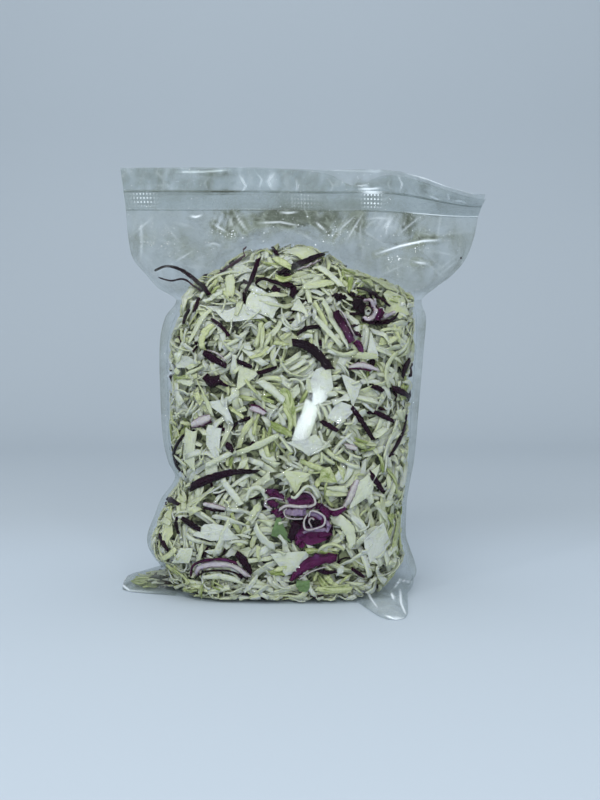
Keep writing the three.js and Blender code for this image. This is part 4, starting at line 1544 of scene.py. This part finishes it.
# Folds of the body and the base: tight film at the sides, and the corners, each with its white, a painted
# highlight.
BODY_FOLDS = (
    (((167, 356), (171, 364), (175, 372)), 0.5, 0.45),
    (((165, 378), (170, 374), (176, 371)), 0.5, 0.50),
    (((172, 352), (178, 356), (183, 350)), 0.3, 0.35),
    (((391, 592), (393, 597), (394, 600)), 0.3, 0.85),
    (((380, 611), (372, 600), (366, 590)), 0.6, 0.55),
    (((400, 588), (401, 603), (407, 617)), 0.5, 0.80),
    (((384, 615), (395, 619), (405, 618)), 0.4, 0.95),
    (((393, 590), (400, 580), (416, 583)), 0.5, 0.45),
    (((146, 566), (128, 573), (121, 584), (130, 591), (170, 594)), 0.3, 0.70),
    (((412, 547), (418, 566), (416, 581)), 0.3, 0.45),
)


FRONT_HALF = 0.012  # points with less of Y than this are on the front of the film


def folded(points, creased, folds, width):
    """Raises sharp folds on the front where the frame has them, and marks them this wide in the frame with
    their white, a painted highlight that stands also for whitened film.
    """
    across, down = frame_place(points)
    front = points[:, 1] < FRONT_HALF
    for path, proud, white in folds:
        gap, run = line_gap(across, down, path)
        fade = np.sin(np.clip(run, 0.04, 0.96) * math.pi) ** 0.6
        points[:, 1] -= front * proud * MM * fade * np.exp(-gap / 5.0)
        creased = np.maximum(creased, front * white * fade * np.exp(-((gap / width) ** 2)))
    return points, creased


# The folded-out corners: name, root and tip on the floor, and width and height at each.
EARS = (
    ("left_ear", (-0.056, -0.003), (EAR_TIP_GAP - LEFT_EAR_REACH, -0.003), (0.066, 0.030), (0.024, 0.007)),
    ("front_ear", (0.058, -0.014), (0.067, EAR_TIP_GAP - FRONT_EAR_REACH), (0.048, 0.015), (0.020, 0.003)),
)
EAR_STEPS = EAR_SIDES = 40
EAR_CLOSES = 0.8  # how far along it starts to close


def ear(name, root, tip, wide, tall):
    """A corner of the film folded out flat on the floor, as a closed form."""
    t = np.linspace(0, 1, EAR_STEPS + 1)
    end = (t - EAR_CLOSES) / (1 - EAR_CLOSES)
    close = np.where(t < EAR_CLOSES, 1, 0.35 + 0.65 * np.sqrt(np.maximum(1 - end**2, 0)))
    close[-1] = 0.02
    wide = (wide[0] + (wide[1] - wide[0]) * t) * close
    tall = (tall[0] + (tall[1] - tall[0]) * t**0.7) * close
    piece = grid(name, EAR_SIDES * 2, EAR_STEPS)
    flat = read_points(piece)
    u, v = flat[:, 0] + 0.5, flat[:, 1] + 0.5
    row = np.rint(v * EAR_STEPS).astype(int)
    turn = np.minimum(u * 2, 1) * math.pi
    under = np.maximum(u * 2 - 1, 0)
    reach = np.where(u < 0.5, np.cos(turn), -1 + 2 * under) * wide[row] / 2
    lift = np.where(u < 0.5, tall[row] * np.sin(turn) ** 0.8, 0)
    lift = lift * (1 + 0.06 * np.sin(reach / 0.0031 + v * 9) * (u < 0.5))
    root, tip = np.array(root), np.array(tip)
    ahead = unit(tip - root)
    across = np.array([-ahead[1], ahead[0]])
    place = root + (tip - root) * v[:, None] + across * reach[:, None]
    write_points(piece, np.stack([place[:, 0], place[:, 1], lift + 0.0002], axis=-1) + SHIFT)
    merged(piece)
    bpy.ops.object.mode_set(mode="EDIT")
    bpy.ops.mesh.select_all(action="DESELECT")
    bpy.ops.mesh.select_non_manifold()
    bpy.ops.mesh.fill_holes(sides=0)
    bpy.ops.mesh.select_all(action="SELECT")
    bpy.ops.mesh.normals_make_consistent(inside=False)
    bpy.ops.object.mode_set(mode="OBJECT")
    return piece


LAMP_STREAK = np.array([0.058, -0.98, 0.117])

# Flat facets of the body that mirror the streak lamp: path in the frame and half widths along it.
FACETS = (
    (((324, 380), (309, 414), (294, 448)), (11.0, 12.0, 9.0)),
    (((341, 416), (339, 420), (337, 424)), (3.0, 3.6, 3.0)),
)
FACET_PROUD = 0.0011
FACET_BLEND = 6  # how wide each fades into the film round it, in the frame


def facet_share(points, path, widths):
    """How much each point belongs to a facet of the front film, from 0 to 1."""
    across, down = frame_place(points)
    gap, run = line_gap(across, down, path)
    half = np.interp(run, np.linspace(0, 1, len(widths)), widths)
    return (1 - smooth(half, half + FACET_BLEND, gap)) * (points[:, 1] < 0)


def faceted(points):
    """Turns patches of the front film so that each mirrors the streak lamp to the front."""
    for path, widths in FACETS:
        share = facet_share(points, path, widths)
        centre = points[share > 0.5].mean(axis=0)
        mirror = unit(unit(EYE - centre) + unit(LAMP_STREAK - centre))
        away = points - centre
        flat = centre[1] - FACET_PROUD - (away[:, 0] * mirror[0] + away[:, 2] * mirror[2]) / mirror[1]
        points[:, 1] += share * (flat - points[:, 1])
    return points


class SLAW_OT_film(bpy.types.Operator):
    """Adds the film of the bag, from its flattened base to the foot of the zip, in place of the solid"""

    bl_idname = "slaw.film"
    bl_label = "Film"

    def execute(self, context):
        rings = [film_ring(z) for z in film_heights()]
        foot = rings[0]
        middle = foot.mean(axis=0)
        rings = np.array([middle + (foot - middle) * s for s in BASE_RINGS] + rings)
        rings[-1, :, 1] = 0.0
        rows, columns = rings.shape[:2]
        around = np.concatenate([rings, rings[:, :1]], axis=1)
        piece = grid("bag_film", columns, rows - 1)
        flat = read_points(piece)
        column = np.rint((flat[:, 0] + 0.5) * columns).astype(int)
        row = np.rint((flat[:, 1] + 0.5) * (rows - 1)).astype(int)
        points = draped(crumpled(around[row, column]))
        loose = smooth(NECK - 0.002, NECK + 0.012, points[:, 2]) * (1 - smooth(0.256, 0.262, points[:, 2]))
        folds = FOLDS + fan_folds() + scratch_folds()
        bent, _ = folded(points.copy(), 0, folds, 1.0)
        points = faceted(points + (bent - points) * loose[:, None])
        write_points(piece, points + SHIFT)
        merged(piece)
        for corner in [ear(*shape) for shape in EARS]:
            union = piece.modifiers.new("corner", "BOOLEAN")
            union.operation = "UNION"
            union.solver = "EXACT"
            union.object = corner
            apply(piece, union)
            bpy.data.objects.remove(corner)
        shade_smooth(piece)
        free_zone(piece)
        points = read_points(piece) - SHIFT
        mark_sheet(piece, CREASE_AND_GLINT, film_creases_and_glints(points, folds))
        mark_sheet(piece, TAUT, sum(facet_share(points, *facet) for facet in FACETS))
        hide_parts("bag")
        settle(piece, film_finish("clear_film", colours().film, haze=0.26, crumple=0.0014), "clear_film")
        return {"FINISHED"}


def film_creases_and_glints(points, folds):
    """How white the film is: along its folds, whitened film and a painted highlight; over its two corners,
    painted light; and at a few spots, painted highlights.
    """
    x, y, z = points[:, 0], points[:, 1], points[:, 2]
    _, crease_and_glint = folded(points.copy(), np.zeros(len(points)), folds, 1.1)
    _, crease_and_glint = folded(points.copy(), crease_and_glint, BODY_FOLDS, 1.3)
    # Painted light over the two folded-out corners, which makes them paler.
    corners = 0.3 * (1 - smooth(0.014, 0.024, z)) * (1 - smooth(-0.088, -0.078, x))
    corners = corners + (1 - smooth(0.010, 0.020, z)) * (1 - smooth(-0.062, -0.054, y))
    crease_and_glint = np.maximum(crease_and_glint, corners * (0.20 + 0.10 * noise_at(points, 0.012, 6.0)))
    # Painted highlights at the whiter spots.
    return crease_and_glint + spots_share(points, WHITER)


def mark_sheet(piece, name, values):
    layer = piece.data.attributes.new(name, "FLOAT", "POINT")
    layer.data.foreach_set("value", np.asarray(values, np.float32))


# Places of the film that look darker, clearer or whiter: middle and spread in the frame, and how much. The
# darker ones are painted shade of dark patches and folds of the header, lip and zip; the whiter ones are
# painted highlights.
DARKER = (
    ((285, 217), (25, 6), 9.0),
    ((324, 218), (12, 9), 2.8),
    ((362, 222), (7, 9), 1.5),
    ((405, 221), (6, 11), 2.4),
    ((232, 217), (12, 8), 0.5),
    ((300, 234), (90, 14), 0.45),
    ((435, 236), (26, 4), 1.0),
    ((220, 174), (14, 3), 2.0),
    ((208, 185), (4, 7), 1.0),
    ((226, 191), (14, 3), 1.2),
    ((355, 184), (20, 3), 1.2),
    ((424, 188), (4, 8), 0.8),
    ((320, 204), (50, 4), 0.7),
    ((440, 204), (30, 5), 0.2),
)
CLEARER = (
    ((386, 224), (14, 13), 0.6),
    ((180, 275), (28, 14), 0.95),
    ((236, 262), (20, 14), 0.5),
    ((160, 245), (26, 30), 0.35),
    ((450, 228), (18, 22), 0.35),
    ((266, 182), (24, 9), 0.5),
    ((360, 176), (34, 4), 0.7),
)
WHITER = (
    ((386, 224), (13, 12), 0.13),
    ((268, 182), (7, 8), 0.13),
    ((250, 180), (4, 9), 0.10),
    ((287, 180), (5, 9), 0.12),
    ((337, 184), (3, 5), 0.14),
    ((141, 238), (2, 18), 0.10),
    ((150, 228), (14, 8), 0.06),
    ((318, 216), (4, 6), 0.16),
    ((366, 490), (5, 16), 0.22),
    ((233, 318), (24, 9), 0.08),
    ((178, 362), (4, 20), 0.20),
)


def spots_share(points, spots):
    """The sum of soft round spots of the front, each as strong as its last value says."""
    across, down = frame_place(points)
    share = np.zeros(len(points))
    for (x, y), (wide, tall), much in spots:
        share += much * np.exp(-((across - x) / wide) ** 2 - ((down - y) / tall) ** 2)
    return share * (points[:, 1] < FRONT_HALF)


def free_zone(piece):
    """Marks how far each point of a sheet stands from the heap, and so how grey it looks, with painted shade
    in bands of the header's drape, beside its folds and at its darker spots.
    """
    points = read_points(piece) - SHIFT
    heap = packing().heap
    gap = np.array([heap.tree.find_nearest(Vector(p))[3] for p in points])
    zone = smooth(0.003, 0.010, gap) * (0.30 + 0.70 * smooth(0.025, 0.05, points[:, 2]))
    x, z = points[:, 0], points[:, 2]
    reach = np.where(x < 0, along(EDGES, LEFT, z), along(EDGES, RIGHT, z))
    fin = along(EDGES, FIN, z)
    beyond = smooth(-1.2, -0.4, (np.abs(x) - reach) / np.maximum(fin, 0.001)) * (z < NECK)
    streaks = noise_at(points * np.array([1, 1, 0.25]), 0.003, 2.0)
    zone = np.maximum(zone, beyond * (0.75 + 0.5 * streaks))
    # Painted shade and painted light in bands of the header's drape.
    drape_shading = noise_at(points * np.array([1, 1, 0.35]), 0.010, 3.0)
    drape_shading = drape_shading + 0.6 * noise_at(points * np.array([1, 1, 0.5]), 0.005, 5.0)
    zone = zone * np.clip(1 + drape_shading * smooth(NECK + 0.006, NECK + 0.02, z), 0.15, 3)
    # Painted shade: a greyer band beside each fold of the header.
    across, down = frame_place(points)
    for path, _, white in FOLDS + fan_folds():
        gap, _ = line_gap(across, down, path)
        zone = zone * (1 + 1.4 * white * np.exp(-(((gap - 3.0) / 1.8) ** 2)) * (points[:, 1] < FRONT_HALF))
    mark_sheet(piece, ZONE, toned(zone, points))


def toned(zone, points):
    """The film's greyness with its darker spots, which are painted shade, and its clearer spots."""
    return zone * (1 + spots_share(points, DARKER)) * np.maximum(1 - spots_share(points, CLEARER), 0)


# Sets of wrinkles of the header: direction, pitch and start.
WRINKLES = (
    (0.35, 0.037, 0.1),
    (1.25, 0.046, 0.4),
    (2.3, 0.041, 0.7),
    (1.9, 0.019, 0.2),
    (0.9, 0.015, 0.6),
)


def ridge(values):
    """A wave with sharp crests, from 0 to 1."""
    return np.abs((values % 1.0) * 2 - 1)


def crumpled(points):
    """Wrinkles of the film: faint on the body, sharp in the loose header, none in the zip."""
    x, y, z = points[:, 0], points[:, 1], points[:, 2]
    face = np.sign(y)
    header = smooth(NECK + 0.004, NECK + 0.022, z) * (1 - smooth(ZIP_FOOT - ZIP_CLEAR, ZIP_FOOT, z))
    body = 1 - smooth(NECK - 0.01, NECK + 0.01, z)
    soft = noise_at(points, 0.022) * 0.5 + noise_at(points, 0.009, 7.0) * 0.5
    creases = np.zeros(len(points))
    warp = noise_at(points, 0.030, 3.0) * 0.45
    patchy = smooth(-0.25, 0.45, noise_at(points, 0.026, 11.0))
    for angle, pitch, offset in WRINKLES:
        run = (x * math.cos(angle) + z * math.sin(angle)) / pitch + offset + 0.37 * face + warp
        creases = creases + (ridge(run) - 0.5) * pitch
    crinkle = noise_at(points, 0.0055, 5.0) * patchy
    out = body * (0.0004 + 0.0005 * soft) + header * (creases * 0.040 * patchy + crinkle * 0.00045)
    points = points.copy()
    points[:, 1] = y + face * out * smooth(0, 0.004, np.abs(y))
    return points


def header_sheet(name, low, high, rows, columns):
    """A grid for a sheet of the header between two heights: the piece, each point's x and z where the
    film hangs straight, and its shares across and up."""
    piece = grid(name, columns, rows)
    flat = read_points(piece)
    u, v = flat[:, 0] + 0.5, flat[:, 1] + 0.5
    z = low + (high - low) * v
    left, right = along(EDGES, LEFT, z), along(EDGES, RIGHT, z)
    return piece, -left + (left + right) * u, z, u, v


def thicken(piece, thickness, crease_and_glint, zone):
    """Gives a sheet its thickness and marks how white it is, at folds and at painted highlights, and how grey
    it is.
    """
    mark_sheet(piece, CREASE_AND_GLINT, crease_and_glint)
    mark_sheet(piece, ZONE, zone)
    solid = piece.modifiers.new("thickness", "SOLIDIFY")
    solid.thickness = thickness
    solid.offset = 0
    apply(piece, solid)
    shade_smooth(piece)


def band(values, middle, width):
    return np.exp(-(((values - middle) / width) ** 2))


class SLAW_OT_zip(bpy.types.Operator):
    """Adds the two strips of the press-to-close zip, ribbed along and finely gridded"""

    bl_idname = "slaw.zip"
    bl_label = "Zip band"

    KNURLS = 106  # bosses of the grip grid in the band's length
    KNURL_ROWS = 5
    OVERLAP = 0.001  # with the film below and the lip above
    APART, RIB, BOSS = 0.0010, 0.00026, 0.00010

    def execute(self, context):
        material = film_finish("zip_film", colours().film, haze=0.135, crumple=0.0009, fine_size=0.003)
        low, high = ZIP_FOOT - self.OVERLAP, ZIP_FOOT + ZIP_BAND + self.OVERLAP
        for name, side, rows, columns in (("zip_front", -1, 44, 664), ("zip_back", 1, 24, 240)):
            piece, x, z, u, v = header_sheet(name, low, high, rows, columns)
            bosses = 0.5 + 0.5 * np.cos(u * 2 * math.pi * self.KNURLS)
            bosses = bosses * (0.5 + 0.5 * np.cos(v * 2 * math.pi * self.KNURL_ROWS))
            grip = bosses * smooth(0.14, 0.24, v) * (1 - smooth(0.80, 0.88, v))
            ribs = band(v, 0.07, 0.035) + band(v, 0.93, 0.035) + 0.6 * band(v, 0.80, 0.03)
            proud = self.APART + self.RIB * ribs + (self.BOSS * grip if side < 0 else 0)
            points = draped(np.stack([x, side * proud, z], axis=-1))
            write_points(piece, points + SHIFT)
            # Painted highlights: lit is where the grip's bosses glint, and the lines are bright along the
            # ribs and in short bars.
            lit = 0.5 * band(u, 0.055, 0.04) + 0.75 * band(u, 0.70, 0.028) + 0.28 * band(u, 0.51, 0.05)
            unevenness = 0.5 + 0.5 * noise_at(points, 0.03, 9.0)
            lines = (0.24 * band(v, 0.965, 0.04) + 0.26 * band(v, 0.06, 0.04)) * unevenness
            lines = lines + 0.85 * (band(v, 0.90, 0.05) + band(v, 0.99, 0.03)) * band(u, 0.70, 0.024)
            lines = lines + 0.45 * band(v, 0.06, 0.03) * smooth(0.78, 0.84, u)
            crease_and_glint = np.clip(smooth(0.35, 0.85, grip) * lit * 1.3 + lines, 0, 1) * (side < 0)
            # Painted shade: darker lines along the upper ribs and the lower edge, uneven along the band.
            upper = band(v, 0.93, 0.035) + 0.7 * band(v, 0.80, 0.03)
            zone = 1 + upper * (0.2 + 1.8 * band(u, 0.26, 0.10)) + 0.25 * band(v, 0.10, 0.03)
            zone = zone * (0.7 + 0.6 * unevenness) * (1 - 0.5 * smooth(0.68, 0.82, u))
            thicken(piece, 0.0002, crease_and_glint, toned(zone, points))
            settle(piece, material, "clear_film")
        return {"FINISHED"}


class SLAW_OT_lip(bpy.types.Operator):
    """Adds the two loose sheets above the zip"""

    bl_idname = "slaw.lip"
    bl_label = "Lip"

    OVERLAP = 0.0005  # with the zip below
    # Folds of each sheet: path in the frame, how proud in millimetres and how white, the white a painted
    # highlight.
    FRONT_FOLDS = (
        (((398, 176), (402, 184), (400, 192)), 0.8, 0.40),
        (((390, 178), (388, 185), (392, 191)), 0.6, 0.25),
        (((354, 185), (361, 186), (368, 185)), 0.3, 0.30),
        (((359, 189), (370, 189), (381, 188)), 0.3, 0.75),
        (((429, 196), (434, 198), (440, 200)), 0.4, 0.75),
        (((447, 193), (449, 197), (448, 202)), 0.4, 0.55),
        (((452, 201), (460, 201), (467, 203)), 0.3, 0.65),
        (((240, 176), (246, 186), (243, 192)), 0.6, 0.35),
        (((256, 172), (262, 180), (258, 190)), 0.6, 0.25),
        (((275, 173), (268, 181), (272, 190)), 0.5, 0.22),
        (((296, 178), (297, 187), (296, 194)), 0.4, 0.30),
        (((328, 178), (333, 186), (330, 193)), 0.6, 0.22),
        (((210, 176), (204, 184), (212, 192)), 0.5, 0.18),
        (((163, 180), (168, 186), (160, 192)), 0.4, 0.15),
    )
    BACK_FOLDS = (
        (((178, 172), (204, 172), (231, 170)), 0.3, 0.90),
        (((404, 172), (432, 181), (473, 194)), 0.3, 0.60),
        (((300, 168), (350, 171), (400, 172)), 0.3, 0.20),
    )

    def execute(self, context):
        material = film_finish("lip_film", colours().film, haze=0.13, crumple=0.0014, fine_size=0.003)
        for name, side, folds in (("lip_front", -1, self.FRONT_FOLDS), ("lip_back", 1, self.BACK_FOLDS)):
            piece, x, z, u, v = header_sheet(name, ZIP_FOOT + ZIP_BAND - self.OVERLAP, HEIGHT, 32, 360)
            gap = 0.0008 + 0.0022 * v * (0.6 + 0.4 * np.sin(u * 9 + side))
            y = side * gap + 0.0012 * v * np.sin(u * 31 + 2 * side) * np.sin(u * 4.1)
            points = draped(np.stack([x, y, z], axis=-1))
            dip = band(u, 0.655, 0.055) if side < 0 else 0
            points[:, 2] -= v * (0.0085 * dip + 0.0035 * smooth(0.35, 0.75, u) * (side < 0))
            crumple = noise_at(points, 0.011, 3 + side) * 0.0016 + noise_at(points, 0.0045, 8 + side) * 0.0006
            points[:, 1] += v * crumple
            points, crease_and_glint = folded(points, np.zeros(len(points)), folds, 1.0)
            # A painted highlight along the top edge.
            crease_and_glint = crease_and_glint + 0.25 * band(v, 0.995, 0.02) * (noise_at(points, 0.012, 4.0) * 0.5 + 0.5)
            write_points(piece, points + SHIFT)
            # The mottle is painted shade and painted light of soft folds: greyer where it is high, whiter
            # where it is low.
            mottle = noise_at(points * np.array([1, 1, 0.45]), 0.008, 12.0 + side)
            mottle = mottle + 0.5 * noise_at(points, 0.004)
            zone = toned(np.clip(0.78 + 1.1 * mottle, 0.05, 3) * (1 - 0.45 * smooth(0.72, 0.86, u)), points)
            crease_and_glint = crease_and_glint + spots_share(points, WHITER) + 0.12 * smooth(0.1, 0.6, -mottle)
            thicken(piece, sizes().film, np.clip(crease_and_glint, 0, 1), zone)
            settle(piece, material, "clear_film")
        return {"FINISHED"}


class SLAW_OT_droplets(bpy.types.Operator):
    """Adds the droplets that cling to the film, and a crumb"""

    bl_idname = "slaw.droplets"
    bl_label = "Droplets"

    # Places in the frame, spread and number of each cluster.
    CLUSTERS = (
        ((226, 235), (18, 5), 26),
        ((336, 233), (20, 11), 36),
        ((395, 258), (7, 4), 12),
        ((165, 245), (22, 14), 20),
        ((300, 235), (90, 20), 50),
        ((425, 245), (25, 18), 18),
        ((262, 292), (12, 8), 14),
    )
    CRUMB = (461, 258)

    def execute(self, context):
        film = bpy.data.objects["bag_film"].data
        tree = BVHTree.FromPolygons([v.co for v in film.vertices], [p.vertices for p in film.polygons])
        random = np.random.default_rng(DROPLET_SEED)
        spots = []
        for (across, down), (wide, tall), count in self.CLUSTERS:
            for _ in range(count):
                x = across + random.standard_normal() * wide / 2
                y = down + random.standard_normal() * tall / 2
                spots.append(((x, y), random.uniform(0.22, 0.62) * MM, random.random()))
        settle(self.beads("droplets", tree, spots, 0.55), bead_finish(), "clear_film")
        dress(self.beads("crumbs", tree, [(self.CRUMB, 0.75 * MM, 0.5)], 0.7), "red")
        return {"FINISHED"}

    def beads(self, name, tree, spots, flatness):
        """Low beads on the film, joined as one piece. A place that the film doesn't reach gets none."""
        sides, rows = 8, 3
        points, quads, marks = [], [], []
        for (across, down), size, shade in spots:
            spot, normal, _, _ = tree.ray_cast(Vector(EYE + SHIFT), Vector(sight(across, down)))
            if spot is None:
                continue
            spot, normal = np.array(spot) - SHIFT, np.array(normal)
            flat = unit(np.cross(normal, [0.1, 0.2, 0.9]))
            up = np.cross(normal, flat)
            first = len(points)
            for row in range(-rows + 1, rows):
                lean = row / rows * math.pi / 2
                for side in range(sides):
                    turn = side / sides * 2 * math.pi
                    ring = (flat * math.cos(turn) + up * math.sin(turn)) * math.cos(lean) * size
                    points.append(spot + ring + normal * (math.sin(lean) * size * flatness))
                    marks.append((shade, 0.5, 0.5, 1))
            layers = 2 * rows - 1
            index = first + np.arange(layers * sides).reshape(layers, sides)
            around = np.roll(index, -1, axis=1)
            quads.extend(np.stack([index[:-1], around[:-1], around[1:], index[1:]], axis=-1).reshape(-1, 4))
            for ring, turned in ((index[0], -1), (index[-1], 1)):
                fan = [(ring[0], ring[i], ring[i + 1], ring[i + 2]) for i in (1, 3, 5)]
                quads.extend([q[::turned] for q in fan])
        return joined_mesh(name, np.array(points), np.array(quads), np.array(marks), None)


def bead_finish():
    """Water: smooth and half clear, and bright with a pale to white colour that is a painted glint."""
    f = Finish("droplet")
    tint = f.mark()[0]
    through = f.make("ShaderNodeBsdfTransparent", None, ((0.9, 0.93, 0.93, 1),))
    values = {"Base Color": f.mix(tint, (0.55, 0.62, 0.62), (0.95, 0.98, 1.0)), "Roughness": 0.12}
    wet = f.make("ShaderNodeBsdfPrincipled", None, values)
    return f.finished(f.make("ShaderNodeMixShader", None, (tint.ease(0.1, 0.9) * 0.5 + 0.3, through, wet)))


SKY = (0.84, 0.92, 1.0)
DAYLIGHT, BLUER, BLUEST = (0.97, 0.99, 1.0), (0.95, 0.98, 1.0), (0.80, 0.91, 1.0)

# Name, place, aim, size, power, colour, whether the film mirrors it, and the turn of an oval one.
LAMPS = (
    ("softbox_front", (-0.35, -1.5, 1.25), (0, 0, 0.12), (1.3, 1.0), 16, DAYLIGHT, False),
    ("softbox_fill", (0.25, -1.7, 0.35), (0, 0, 0.14), (1.0, 0.7), 6, DAYLIGHT, False),
    ("softbox_above", (0.0, 0.1, 1.7), (0, 0.1, 0.1), (1.6, 1.2), 7, BLUER, False),
    ("lamp_streak", LAMP_STREAK + SHIFT, (0.01, 0, 0.15), (0.016, 0.092), 0.40, BLUEST, True, -0.44),
    ("lamp_high", (0.5, -1.1, 0.8), (0, 0, 0.2), (0.12, 0.12), 1.15),
    ("lamp_low", (-0.35, -1.0, 0.02), (0, 0, 0.15), (0.06, 0.06), 0.30),
    ("lamp_glints", (-0.75, -0.75, 0.85), (0, 0, 0.16), (0.10, 0.30), 1.5),
)


def softbox(name, place, aim, size, power, colour=(1, 1, 1), glints=True, turned=0.0):
    """Adds an area light, which the camera doesn't see."""
    light = bpy.data.lights.new(name, "AREA")
    light.shape = "ELLIPSE" if turned else "RECTANGLE"
    light.size, light.size_y = size
    light.energy = power
    light.color = colour
    holder = bpy.data.objects.new(name, light)
    bpy.context.scene.collection.objects.link(holder)
    holder.location = place
    facing = (Vector(aim) - Vector(place)).to_track_quat("-Z", "Y")
    holder.rotation_euler = (facing @ Quaternion((0, 0, 1), turned)).to_euler()
    holder.visible_glossy = glints
    holder.visible_camera = False


class SLAW_OT_stage(bpy.types.Operator):
    """Adds the floor, the wall, the lights and the camera"""

    bl_idname = "slaw.stage"
    bl_label = "Stage"

    def execute(self, context):
        scene = context.scene
        scene.view_settings.view_transform = "Standard"
        wide, near, deep, tall, bend = 3.2, 1.5, 0.75, 1.6, 0.55
        piece = grid("floor_and_wall", 8, 96)
        flat = read_points(piece)
        at = (flat[:, 1] + 0.5) * (near + deep + bend * math.pi / 2 + tall) - near
        turn = np.clip((at - deep) / bend, 0, math.pi / 2)
        y = np.minimum(at, deep) + bend * np.sin(turn)
        z = bend * (1 - np.cos(turn)) + np.maximum(at - deep - bend * math.pi / 2, 0)
        write_points(piece, np.stack([flat[:, 0] * wide, y, z - 0.0002], axis=-1))
        shade_smooth(piece)
        f = Finish("backdrop")
        place = f.node("ShaderNodeSeparateXYZ", None, (f.place(),))
        away = Value(f, place.outputs["Y"])
        grain = f.noise(0.5, 2, 0.5)
        tone = f.mix(grain.ease(0.3, 0.7) * 0.5, colours().wall, times(colours().wall, 1.02))
        tone = f.mix(away.ease(0.05, 0.30), colours().floor, tone)
        values = {"Base Color": tone, "Roughness": 0.8, "Specular IOR Level": 0.1}
        piece.data.materials.append(f.finished(f.make("ShaderNodeBsdfPrincipled", None, values)))

        world = bpy.data.worlds.new("studio")
        scene.world = world
        world.use_nodes = True
        background = world.node_tree.nodes["Background"]
        background.inputs["Color"].default_value = opaque(SKY)
        background.inputs["Strength"].default_value = 0.62
        for lamp in LAMPS:
            softbox(*lamp)

        camera = bpy.data.cameras.new("camera")
        camera.lens = LENS * 1000
        camera.sensor_width = SENSOR * 1000
        camera.clip_start = 0.01
        holder = bpy.data.objects.new("camera", camera)
        scene.collection.objects.link(holder)
        holder.location = EYE + SHIFT
        holder.rotation_euler = (math.pi / 2 - CAMERA_ELEVATION, 0, 0)
        scene.camera = holder
        return {"FINISHED"}


PIECES = (SLAW_OT_core, SLAW_OT_shreds, SLAW_OT_placed, SLAW_OT_film, SLAW_OT_zip, SLAW_OT_lip,
          SLAW_OT_droplets, SLAW_OT_stage)


class SLAW_PT_panel(bpy.types.Panel):
    """Lists the steps that build the bag"""

    bl_idname = "SLAW_PT_panel"
    bl_label = "Coleslaw bag"
    bl_space_type = "VIEW_3D"
    bl_region_type = "UI"
    bl_category = "Coleslaw"

    def draw(self, context):
        for group in (context.scene.slaw_sizes, context.scene.slaw_colours):
            for name in group.__annotations__:
                self.layout.prop(group, name)
        for piece in PIECES:
            self.layout.operator(piece.bl_idname)


CLASSES = (SLAW_PG_sizes, SLAW_PG_colours, *PIECES, SLAW_PT_panel)


def register():
    for item in CLASSES:
        bpy.utils.register_class(item)
    bpy.types.Scene.slaw_sizes = PointerProperty(type=SLAW_PG_sizes)
    bpy.types.Scene.slaw_colours = PointerProperty(type=SLAW_PG_colours)


def unregister():
    del bpy.types.Scene.slaw_colours
    del bpy.types.Scene.slaw_sizes
    for item in reversed(CLASSES):
        bpy.utils.unregister_class(item)


def main():
    register()
    bpy.ops.slaw.core()
    bpy.ops.slaw.shreds()
    bpy.ops.slaw.placed()
    bpy.ops.slaw.film()
    bpy.ops.slaw.zip()
    bpy.ops.slaw.lip()
    bpy.ops.slaw.droplets()
    bpy.ops.slaw.stage()


if __name__ == "__main__":
    main()
